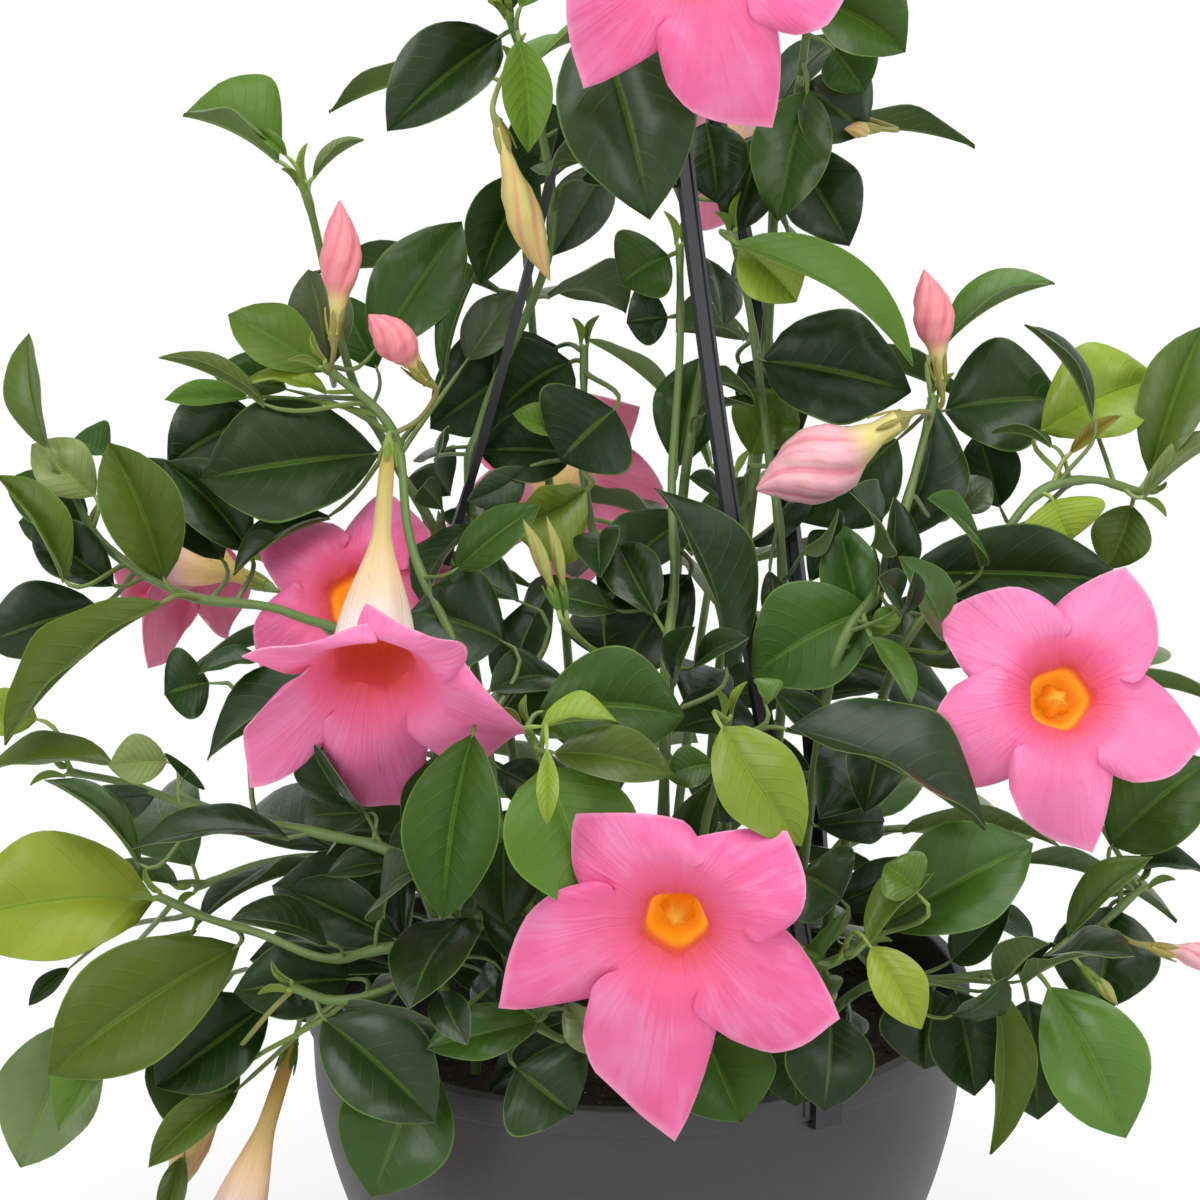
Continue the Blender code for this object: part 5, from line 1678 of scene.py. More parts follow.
@dataclass(frozen=True)
class Filling:
    """Grows darker leaves inside the plant, wherever a look at it would pass between the outer leaves.

    Their mostly dark tones partly paint the shade deep inside the plant.
    """

    board: Board
    length: Pair = (34 * MM, 66 * MM)
    slimness: Pair = (0.50, 0.64)
    longest_stalk: float = 38 * MM
    tries: int = 64
    nearest: int = 14
    # Mostly dark tones, which partly paint the shade deep inside the plant.
    tones: tuple[Tone, ...] = (Tone.DARK, Tone.DULL, Tone.DARK, Tone.MID, Tone.GLOSS, Tone.DARK)
    bearings: tuple[int, ...] = (180, 115, 245, 70, 290)
    side_outline: tuple[Pair, ...] = (
        (-120, 120), (-190, 150), (-200, 230), (-150, 300), (-90, 350), (-70, 470), (0, 540), (70, 470),
        (90, 350), (150, 300), (200, 230), (190, 150), (120, 120))

    def shown_in_open(self, leaf: Leaf) -> bool:
        """Say whether a leaf would show where only the pot or the room behind does."""
        for share in (0.0, 0.3, 0.6, 1.0):
            middle = leaf.base.lerp(leaf.tip, share)
            across = leaf.axis.cross(leaf.normal) * leaf.width / 2 * (1 - abs(2 * share - 1))
            for spot in (middle, middle + across, middle - across):
                x, up = self.board.drawn_at(spot)
                if any(left < x < right and low < up < high for left, right, low, high in OPEN_PLACES):
                    return True
        return False

    def fill(self, planting: Planting, shoots: Sequence[Shoot]) -> int:
        """Fill the front, and then the other sides.

        Args:
            planting: The planting that knows which places are taken.
            shoots: The shoots, with their own leaves placed.

        Returns:
            How many leaves were added.
        """
        added = self.fill_side(planting, shoots, FrontSight(self.board), FULL_PLACE, "front")
        for bearing in self.bearings:
            name = f"bearing {bearing}"
            added += self.fill_side(planting, shoots, SideSight(bearing), self.side_outline, name)
        return added

    def fill_side(self, planting: Planting, shoots: Sequence[Shoot], sight: Sight,
                  outline: Sequence[Pair], name: str) -> int:
        """Fill the plant as seen from one side.

        Args:
            planting: The planting that knows which places are taken.
            shoots: The shoots.
            sight: The side.
            outline: What the foliage fills.
            name: What the side's own differences follow from.

        Returns:
            How many leaves were added.
        """
        for shape in planting.clearing.shapes:
            sight.cover(shape)
        rng = random.Random(name)
        spots = [(shoot, spot) for shoot in shoots for spot in shoot.fine_path[4:-1:2]]
        drawn = [sight.drawn_at(spot) for _, spot in spots]
        spans = [range(int(min(places) // sight.cell), int(max(places) // sight.cell) + 1)
                 for places in zip(*outline)]
        cells = list(itertools.product(*spans))
        rng.shuffle(cells)
        added = 0
        hopeless: set[Cell] = set()
        for cell in cells:
            column, row = cell
            aim = ((column + 0.5) * sight.cell, (row + 0.5) * sight.cell)
            if cell in sight.covered or cell in hopeless or not inside_outline(aim, outline):
                continue
            near = sorted(range(len(spots)), key=lambda index: math.dist(drawn[index], aim))[:self.nearest]
            leaf, shoot = self.find(planting, [spots[index] for index in near], sight, aim, rng)
            if leaf and shoot:
                shape = leaf.test_shape()
                planting.clearing.add(shoot.name, shape)
                sight.cover(shape)
                shoot.leaves.append(leaf)
                added += 1
            else:
                hopeless |= {(column + right, row + up) for right in (-1, 0, 1) for up in (-1, 0, 1)}
        LOG.info("filling %s: %d leaves", name, added)
        return added

    def find(self, planting: Planting, spots: Sequence[tuple[Shoot, Vector]], sight: Sight,
             aim: Pair, rng: random.Random) -> tuple[Leaf | None, Shoot | None]:
        """Return a leaf that hides a place and is clear of everything.

        Args:
            planting: The planting that knows which places are taken.
            spots: Points of stems near to it, with their shoots.
            sight: The side that the place is seen from.
            aim: The place.
            rng: What the leaf's differences follow from.

        Returns:
            The leaf and its shoot, or nothing.
        """
        for attempt in range(self.tries):
            shoot, spot = rng.choice(spots)
            middle = sight.point(*aim, sight.depth_of(spot) + rng.uniform(-46, 30))
            jitter = Vector((rng.uniform(-1, 1), rng.uniform(-1, 1), rng.uniform(-1, 0.8)))
            axis = ((middle - spot).normalized() + jitter * 0.55).normalized()
            length = rng.uniform(*self.length) * (1 - 0.5 * attempt / self.tries)
            base = middle - axis * length * rng.uniform(0.3, 0.7)
            stalk = base - spot
            if stalk.length > self.longest_stalk or stalk.dot(axis) < -0.1 * stalk.length:
                continue
            outward = Vector((middle.x, middle.y, 0)).normalized()
            facing = (outward * rng.uniform(0.3, 1.3) + UP * rng.uniform(0.4, 1.0)).normalized()
            leaf = Leaf(shoot.seat_on(spot), base, base + axis * length, facing,
                        length * rng.uniform(*self.slimness), math.radians(rng.uniform(10, 28)),
                        rng.choice(self.tones), rng.random(), rows=12, stalk_radius=0.75 * MM)
            if (self.inside(leaf) and not self.shown_in_open(leaf)
                    and not planting.clearing.touches(leaf.test_shape()) and not leaf.crosses_itself()):
                return leaf, shoot
        return None, None

    @staticmethod
    def inside(leaf: Leaf) -> bool:
        """Say whether a leaf stays well inside the part's box."""
        low, high = CAD_BOX
        for axis, below, above in ((0, 5 * MM, 5 * MM), (1, 5 * MM, 5 * MM), (2, 96 * MM, 20 * MM)):
            if min(leaf.base[axis], leaf.tip[axis]) - below < low[axis]:
                return False
            if max(leaf.base[axis], leaf.tip[axis]) + above > high[axis]:
                return False
        return True


# ---- Flowers and buds ----


@dataclass
class Sheet:
    """A thin sheet that is being laid out: its points, what the finish reads at each, and its faces."""

    points: list[Vector] = field(default_factory=list)
    blade: list[Colour] = field(default_factory=list)
    faces: list[Face] = field(default_factory=list)


@dataclass(frozen=True)
class Corolla:
    """A trumpet flower: a slender tube that swells to a throat, and five broad overlapping lobes."""

    plan: FlowerPlan
    lobes: int = 5
    lobe_columns: int = 18
    lobe_rows: int = 15
    tube_rows: int = 22
    throat_rows: int = 6
    foot_radius: float = 2.2 * MM
    neck_radius: float = 3.0 * MM
    throat_height: float = 0.94
    neck_share: float = 0.40
    split_reach: float = 0.37
    flare_reach: float = 0.52
    flare_rise: float = 0.08
    edge_rise: float = 0.02
    overlap: float = 2.8 * MM
    thickness: float = 0.55 * MM
    anthers: int = 5
    usual_tube: float = 52 * MM

    @property
    def around(self) -> int:
        """How many points a ring of the tube has."""
        return self.lobes * self.lobe_columns

    @property
    def throat_reach(self) -> float:
        """The throat's radius as a share of the face's."""
        return self.plan.throat / self.plan.radius

    def spoke(self, angle: float) -> Vector:
        """Return the way out from the flower's axis at an angle."""
        right = self.plan.facing.cross(UP).normalized()
        return right * math.cos(angle) + right.cross(self.plan.facing) * math.sin(angle)

    def at(self, radius: float, height: float, angle: float) -> Vector:
        """Return the point at a radius, a height above the foot and an angle."""
        return self.plan.foot + self.plan.facing * height + self.spoke(angle) * radius

    def depth(self) -> float:
        """Return how deep the throat's colours and anthers lie: 1, and more in a tube longer than usual."""
        return max(self.plan.tube / self.usual_tube, 1.0)

    def tube_at(self, share: float) -> Pair:
        """Return the tube's radius and height at a share of its length."""
        neck = self.foot_radius + (self.neck_radius - self.foot_radius) * min(share / self.neck_share, 1)
        swell = step_between(self.neck_share, 1.0, share)
        radius = neck + (self.plan.throat - self.neck_radius) * swell ** 0.75
        return radius, self.plan.tube * self.throat_height * share

    def limb_height(self, reach: float) -> float:
        """Return the limb's height above the foot at a share of the face's radius."""
        start = self.throat_reach
        low = self.plan.tube * self.throat_height
        top = self.plan.tube + self.flare_rise * self.plan.radius
        share = min((reach - start) / (self.flare_reach - start), 1.0)
        height = low + (top - low) * (1 - (1 - share) ** 2.2)
        beyond = max(reach - self.flare_reach, 0) / (1 - self.flare_reach)
        return height - (self.flare_rise - self.edge_rise) * self.plan.radius * beyond ** 1.5

    @staticmethod
    def lobe_edge(across: float, tip: float) -> float:
        """Return how far a lobe reaches at a place across it, as a share of the face's radius.

        Args:
            across: The place, from 0 to 1.
            tip: The place of the lobe's tip, which stands nearer to one of its sides.

        Returns:
            The reach.
        """
        knots = ((0.0, 0.60), (tip * 0.55, 0.80), (tip, 1.0), (tip + 0.07, 0.955), (tip + 0.24, 0.89),
                 (0.74, 0.82), (0.90, 0.70), (1.0, 0.57))
        for (low, start), (high, end) in zip(knots, knots[1:]):
            if across <= high:
                return start + (end - start) * (across - low) / (high - low)
        return knots[-1][1]

    def dress(self, finishes: Sequence[Material]) -> Piece:
        """Build the flower.

        Args:
            finishes: The corolla's face, its outside and the anther cone.

        Returns:
            The piece.
        """
        skin = Skin()
        self.add_corolla(skin)
        self.add_anther_cone(skin)
        return skin.piece(self.plan.name + "_corolla", finishes, "petal", self.plan.name)

    def add_corolla(self, skin: Skin) -> None:
        """Add the tube, the throat and the lobes as one sheet."""
        sheet = Sheet()
        self.add_tube(sheet)
        rng = random.Random(self.plan.name)
        for lobe in range(self.lobes):
            self.add_lobe(sheet, lobe, rng)
        faces = [tuple(reversed(corners)) for corners in sheet.faces]
        skin.sheet(sheet.points, faces, self.thickness, sheet.blade, (self.plan.paleness,) * 3)

    def keep(self, sheet: Sheet, radius: float, height: float, angle: float, reach: float) -> None:
        """Add a point, which sags the more the farther out it lies.

        Args:
            sheet: The corolla's sheet.
            radius: The point's distance from the flower's axis.
            height: Its height above the foot.
            angle: Its angle round the flower.
            reach: How far out the finish takes it to lie.
        """
        beyond = max(radius / self.plan.radius - self.split_reach, 0) / (1 - self.split_reach)
        sag = UP * self.plan.sag * self.plan.radius * beyond ** 1.15
        sheet.points.append(self.at(radius, height, angle) - sag)
        sheet.blade.append((reach, math.cos(angle), math.sin(angle)))

    def add_tube(self, sheet: Sheet) -> None:
        """Add the tube and the throat, up to where the lobes part."""
        start, around = self.throat_reach, self.around
        for row in range(self.tube_rows):
            share = row / (self.tube_rows - 1)
            radius, height = self.tube_at(share)
            for step in range(around):
                angle = self.plan.turn + TURN * step / around
                flute = 1 + 0.05 * math.sin(self.lobes * TURN * step / around) * step_between(0.3, 1, share)
                self.keep(sheet, radius * flute, height, angle, share ** (1 / self.depth()))
        for row in range(1, self.throat_rows + 1):
            reach = start + (self.split_reach - start) * row / self.throat_rows
            for step in range(around):
                angle = self.plan.turn + TURN * step / around
                self.keep(sheet, reach * self.plan.radius, self.limb_height(reach), angle,
                          1 + (reach - start) / (1 - start))
        for ring in range(self.tube_rows + self.throat_rows - 1):
            for step in range(around):
                near, beside = ring * around + step, ring * around + (step + 1) % around
                sheet.faces.append((near, near + around, beside + around, beside))

    def add_lobe(self, sheet: Sheet, lobe: int, rng: random.Random) -> None:
        """Add one lobe, which starts at the throat's last ring.

        Args:
            sheet: The corolla's sheet.
            lobe: The lobe's number round the flower.
            rng: What its droop, ruffles and tip follow from.
        """
        start, around = self.throat_reach, self.around
        first = lobe * self.lobe_columns
        last = (self.tube_rows + self.throat_rows - 1) * around
        rows = [[last + (first + step) % around for step in range(self.lobe_columns + 1)]]
        droop, phase, ripple = rng.uniform(0.02, 0.16), rng.uniform(0, TURN), rng.uniform(0.7, 1.5)
        size, lean = rng.uniform(0.92, 1.0), rng.uniform(-5, 5)
        tip = rng.choice((5, 6, 6, 7)) / self.lobe_columns
        for row in range(1, self.lobe_rows + 1):
            share = row / self.lobe_rows
            ids = []
            for step in range(self.lobe_columns + 1):
                across = step / self.lobe_columns
                edge = self.lobe_edge(across, tip) * size
                reach = self.split_reach + (edge - self.split_reach) * share
                width = 1 + 0.20 * math.sin(math.pi * share ** 0.9)
                angle = self.plan.turn + TURN / self.lobes * (lobe + 0.5 + (across - 0.5) * width)
                angle += math.radians(lean) * share ** 1.5
                height = self.limb_height(reach)
                height += self.overlap * (2 * across - 1) * math.sin(math.pi / 2 * min(share * 1.6, 1))
                height += 3.0 * MM * ripple * math.sin(TURN * 1.4 * across + phase) * share ** 1.3
                height -= self.plan.radius * droop * share ** 2
                height -= 2.6 * MM * share ** 2 * abs(2 * across - 1) ** 3
                ids.append(len(sheet.points))
                self.keep(sheet, reach * self.plan.radius, height, angle,
                          1 + (self.split_reach - start) / (1 - start) * (1 - share) + share)
            rows.append(ids)
        for below, above in zip(rows, rows[1:]):
            for step in range(self.lobe_columns):
                sheet.faces.append((below[step], above[step], above[step + 1], below[step + 1]))

    def add_anther_cone(self, skin: Skin) -> None:
        """Add the ridged cone of anthers that stands in the throat."""
        sides, rows = 20, 9
        top = self.plan.tube * 0.9 ** self.depth()
        points: list[Vector] = []
        for row in range(rows):
            share = row / (rows - 1)
            for side in range(sides):
                angle = TURN * side / sides
                ridge = 1 + 0.18 * math.cos(self.anthers * angle)
                radius = (5.4 * MM * (1 - share) ** 0.6 + 0.4 * MM) * ridge
                points.append(self.at(radius, top - (1 - share) * 15 * MM, angle))
        skin.add(points, closed_rings(rows, sides), 2)


@dataclass(frozen=True)
class Bud:
    """A closed bud: a narrow neck that swells to twisted folds and comes to a point."""

    plan: BudPlan
    rows: int = 34
    sides: int = 40
    folds: int = 5
    twist: float = 2.6
    outline: tuple[Pair, ...] = (
        (0.0, 0.29), (0.14, 0.31), (0.28, 0.50), (0.43, 0.88), (0.57, 1.0), (0.70, 0.88), (0.83, 0.60),
        (0.93, 0.28), (1.0, 0.05))

    def spread(self, share: float) -> float:
        """Return the bud's radius at a share of its length, as a share of its greatest."""
        for (low, start), (high, end) in zip(self.outline, self.outline[1:]):
            if share <= high:
                straight = (share - low) / (high - low)
                return start + (end - start) * (step_between(low, high, share) + straight) / 2
        return self.outline[-1][1]

    def dress(self, finish: Material) -> Piece:
        """Build the bud.

        Args:
            finish: The bud's skin.

        Returns:
            The piece.
        """
        skin = Skin()
        axis = (self.plan.tip - self.plan.foot).normalized()
        length = (self.plan.tip - self.plan.foot).length
        side = axis.orthogonal().normalized()
        other = axis.cross(side)
        points: list[Vector] = []
        blade = []
        for row in range(self.rows):
            share = row / (self.rows - 1)
            depth = 0.11 * step_between(0.25, 0.5, share) * (1 - 0.4 * share)
            for step in range(self.sides):
                angle = TURN * step / self.sides
                turned = self.folds * (angle - self.twist * share)
                ridge = math.cos(turned)
                swell = 1 + depth * (ridge - 0.6 * ridge ** 4 - 0.2)
                radius = self.plan.radius * self.spread(share) * swell
                spot = side * math.cos(angle) + other * math.sin(angle)
                bend = side * length * 0.035 * math.sin(math.pi * share)
                points.append(self.plan.foot + axis * length * share + spot * radius + bend)
                blade.append((share * (1 - self.plan.green) + self.plan.green * max(share, 0.5), ridge,
                              math.sin(turned)))
        skin.add(points, closed_rings(self.rows, self.sides), 0, blade, self.plan.tint)
        return skin.piece(self.plan.name + "_skin", [finish], "bud", self.plan.name)


# ---- Pot, mix and hanger ----


@dataclass(frozen=True)
class Pot:
    """The moulded bowl with a band round its rim, a foot ring and a lug at each hanger strap."""

    rim_radius: float
    height: float
    lug_bearings: tuple[float, ...]
    band_height: float = 10.5 * MM
    band_step: float = 2.5 * MM
    wall: float = 2.4 * MM
    floor: float = 3 * MM
    base_radius: float = 79 * MM
    lug_offset: float = 7.6 * MM
    steps: int = 160
    outline: tuple[Pair, ...] = (
        (122.4, 154.5), (121.0, 125), (116.0, 100), (109.5, 79), (98.0, 45), (86.0, 15), (80.5, 2.5))

    def bowl(self, count: int) -> list[Pair]:
        """Return the bowl's outer outline under the band, top to bottom, as radius and height."""
        knots = [Vector((radius * MM, 0, height * MM)) for radius, height in self.outline]
        return [(spot.x, spot.z) for spot in smooth_path(knots, count)]

    def rounded(self, corner: Pair, start: float, end: float, radius: float, count: int = 5
                ) -> list[Pair]:
        """Return the points of a rounded edge.

        Args:
            corner: The middle of its arc, as radius and height.
            start: The arc's first angle, in degrees.
            end: Its last angle.
            radius: The arc's radius.
            count: How many points it has.

        Returns:
            The points.
        """
        points = []
        for index in range(count):
            angle = math.radians(start + (end - start) * index / (count - 1))
            points.append((corner[0] + radius * math.cos(angle), corner[1] + radius * math.sin(angle)))
        return points

    def profile(self) -> list[Pair]:
        """Return the whole outline, from the middle of the inner floor round to the middle of the base."""
        lip, soft = 1.0 * MM, 0.6 * MM
        band_foot = self.height - self.band_height
        inner = self.rim_radius - self.band_step - self.wall
        inside = [(radius - self.wall, max(height, self.floor)) for radius, height in reversed(self.bowl(26))]
        return [
            (0.0, self.floor), (self.base_radius * 0.6, self.floor), *inside,
            *self.rounded((inner + lip, self.height - lip), 180, 90, lip),
            *self.rounded((self.rim_radius - lip, self.height - lip), 90, 0, lip),
            *self.rounded((self.rim_radius - soft, band_foot + soft), 0, -90, soft),
            (self.rim_radius - self.band_step + 0.4 * MM, band_foot),
            *self.bowl(40),
            *self.rounded((self.base_radius - lip, lip), 0, -90, lip),
            (self.base_radius - 5 * MM, 0.0), (self.base_radius - 6.5 * MM, 1.2 * MM),
            (0.0, 1.2 * MM),
        ]

    def dress(self, finish: Material) -> Piece:
        """Build the pot.

        Args:
            finish: Its plastic.

        Returns:
            The piece.
        """
        skin = Skin()
        outline = self.profile()
        points = [Vector((0, 0, outline[0][1]))]
        for radius, height in outline[1:-1]:
            points += circle(radius, height, self.steps)
        points.append(Vector((0, 0, outline[-1][1])))
        rings = len(outline) - 2
        last = 1 + (rings - 1) * self.steps
        faces = turned_rings(rings, self.steps)
        faces.extend((last + step, len(points) - 1, last + (step + 1) % self.steps)
                     for step in range(self.steps))
        skin.add(points, faces)
        for bearing in self.lug_bearings:
            self.add_lug(skin, bearing)
        return skin.piece("pot_bowl", [finish], "pot_plastic", "pot", sharp=50)

    def add_lug(self, skin: Skin, bearing: float) -> None:
        """Add the pair of raised ribs on the band that keep a strap's clip from sliding."""
        middle = self.height - self.band_height / 2
        for hand in (1, -1):
            outward = bearing_way(bearing + hand * math.degrees(self.lug_offset / self.rim_radius))
            across = UP.cross(outward)
            ring = [across * side * 0.9 * MM + UP * (middle + lift * 3.6 * MM)
                    for side, lift in ((-1, -1), (1, -1), (1, 1), (-1, 1))]
            low = [outward * (self.rim_radius - 0.6 * MM) + corner for corner in ring]
            high = [outward * (self.rim_radius + 1.1 * MM) + corner.lerp(UP * middle, 0.12)
                    for corner in ring]
            skin.add(low + high, closed_rings(2, 4))


@dataclass(frozen=True)
class PottingMix:
    """The potting mix: a lumpy top a little under the rim, and loose crumbs."""

    radius: float
    level: float
    floor: float
    foot_radius: float = 74 * MM
    calm_edge: float = 12 * MM
    rings: int = 34
    steps: int = 110
    crumbs: int = 260

    def top(self, x: float, y: float) -> float:
        """Return the height of the mix at a place."""
        spot = Vector((x, y, 0))
        coarse = noise.noise(spot * 55) * 1.8 * MM
        fine = noise.noise(spot * 190) * 1.0 * MM + noise.noise(spot * 520) * 0.5 * MM
        edge = step_between(self.radius, self.radius - self.calm_edge, math.hypot(x, y))
        return self.level - 1.2 * MM + (coarse + fine) * edge

    def dress(self, finish: Material) -> Piece:
        """Build the mix.

        Args:
            finish: Its look.

        Returns:
            The piece.
        """
        skin = Skin()
        points = [Vector((0, 0, self.top(0, 0)))]
        for ring in range(1, self.rings + 1):
            for point in circle(self.radius * ring / self.rings, 0, self.steps):
                points.append(Vector((point.x, point.y, self.top(point.x, point.y))))
        points += circle(self.foot_radius, self.floor, self.steps)
        last = 1 + self.rings * self.steps
        faces = turned_rings(self.rings + 1, self.steps)
        faces.append(tuple(last + step for step in reversed(range(self.steps))))
        skin.add(points, faces)
        self.add_crumbs(skin)
        return skin.piece("potting_mix_surface", [finish], "potting_mix", "potting_mix", sharp=70)

    def add_crumbs(self, skin: Skin) -> None:
        """Add loose bits of bark that lie on the mix."""
        rng = random.Random("crumbs")
        for _ in range(self.crumbs):
            reach, angle = self.radius * 0.95 * math.sqrt(rng.random()), rng.uniform(0, TURN)
            centre = Vector((reach * math.cos(angle), reach * math.sin(angle), 0))
            centre.z = self.top(centre.x, centre.y) + 0.4 * MM
            size = rng.uniform(0.8, 2.2) * MM
            way = Vector((rng.uniform(-1, 1), rng.uniform(-1, 1), rng.uniform(-0.3, 0.3))).normalized()
            across = way.cross(UP).normalized()
            rings = []
            for share, spread in ((-1, 0.35), (-0.4, 0.9), (0.5, 0.8), (1, 0.25)):
                for side in range(5):
                    turn = TURN * side / 5 + rng.uniform(-0.3, 0.3)
                    spot = across * math.cos(turn) + way.cross(across) * math.sin(turn) * 0.6
                    rings.append(centre + way * size * share * 1.5 + spot * size * spread * 0.6)
            skin.add(rings, closed_rings(4, 5))


@dataclass(frozen=True)
class Strap:
    """One hanger strap: a bowed bar with a groove down its front and back, and a clip under the band."""

    name: str
    bearing: float
    bow: float
    rim_radius: float
    rim_height: float
    hub_height: float
    hub_radius: float
    band_height: float = 10.5 * MM
    band_step: float = 2.5 * MM
    gap: float = 0.3 * MM
    width: float = 6.5 * MM
    thickness: float = 3 * MM
    clip_width: float = 11 * MM
    clip_rise: float = 6 * MM
    samples: int = 46
    section: tuple[Pair, ...] = (
        (-1.0, -1.0), (-0.62, -1.0), (-0.50, -0.45), (0.50, -0.45), (0.62, -1.0), (1.0, -1.0),
        (1.0, 1.0), (0.62, 1.0), (0.50, 0.45), (-0.50, 0.45), (-0.62, 1.0), (-1.0, 1.0))

    def path(self) -> tuple[list[Vector], Vector]:
        """Return the strap's middle line from the hub to its lip under the band, and the way across it."""
        outward = bearing_way(self.bearing)
        across = UP.cross(outward)
        start = outward * (self.hub_radius + self.gap) + UP * self.hub_height
        reach = self.rim_radius + self.gap + self.thickness / 2
        end = outward * reach + UP * (self.rim_height + self.clip_rise)
        line = end - start
        swell = line.cross(across).normalized()
        if swell.dot(outward) < 0:
            swell.negate()
        points = []
        for step in range(self.samples):
            share = step / (self.samples - 1)
            points.append(start + line * share + swell * self.bow * math.sin(math.pi * share))
        under = UP * (self.rim_height - self.band_height - self.gap - self.thickness / 2)
        middle = UP * (self.rim_height - self.band_height / 2)
        bend = outward * (self.rim_radius - self.band_step + self.gap * 2)
        points += [outward * reach + middle + UP * self.band_height * 0.35, outward * reach + middle,
                   outward * reach + under, bend + under]
        return points, across

    def dress(self, finish: Material) -> Piece:
        """Build the strap.

        Args:
            finish: Its plastic.

        Returns:
            The piece.
        """
        skin = Skin()
        path, across = self.path()
        points: list[Vector] = []
        for index, point in enumerate(path):
            before, after = path[max(index - 1, 0)], path[min(index + 1, len(path) - 1)]
            along = (after - before).normalized()
            out = UP if index == 0 else along.cross(across).normalized()
            clip = index >= self.samples
            width = self.clip_width if clip else self.width
            for side, face in self.section:
                depth = (1 if face > 0 else -1) if clip or index < 2 else face
                points.append(point + across * width / 2 * side + out * self.thickness / 2 * depth)
        skin.add(points, closed_rings(len(path), len(self.section)))
        return skin.piece(self.name + "_bar", [finish], "hanger_plastic", self.name, sharp=35)


@dataclass(frozen=True)
class Hook:
    """The hub that the straps meet in, with a collar and the hook above it."""

    hub_height: float
    hub_radius: float
    hub_thickness: float = 7 * MM
    wire_radius: float = 2.6 * MM
    bend_radius: float = 13 * MM
    shank: float = 34 * MM
    turn: float = math.radians(208)

    def dress(self, finish: Material) -> Piece:
        """Build the hub and the hook.

        Args:
            finish: Their plastic.

        Returns:
            The piece.
        """
        skin = Skin()
        half = self.hub_thickness / 2
        hub = [(-half, 0.90), (-half + 0.4 * MM, 0.985), (-half + 1 * MM, 1.0), (half - 1 * MM, 1.0),
               (half - 0.4 * MM, 0.985), (half, 0.90), (half + 0.6 * MM, 0.55), (half + 3 * MM, 0.45),
               (half + 6 * MM, 0.33)]
        path = [UP * (self.hub_height + height) for height, _ in hub]
        skin.tube(path, [self.hub_radius * spread for _, spread in hub], 40, 0, (1, 1, 1))
        top = self.hub_height + self.shank
        line = [UP * (self.hub_height + half + 4 * MM + (top - self.hub_height - half - 4 * MM) * step / 6)
                for step in range(7)]
        centre = Vector((self.bend_radius, 0, top))
        for step in range(1, 33):
            angle = math.pi - self.turn * step / 32
            line.append(centre + Vector((math.cos(angle), 0, math.sin(angle))) * self.bend_radius)
        radii = [self.wire_radius] * (len(line) - 2) + [self.wire_radius * 0.9, self.wire_radius * 0.55]
        skin.tube(line, radii, 18, 0, (1, 1, 1))
        return skin.piece("hanger_hook_and_hub", [finish], "hanger_plastic", "hanger_hook", sharp=50)


# ---- Studio ----


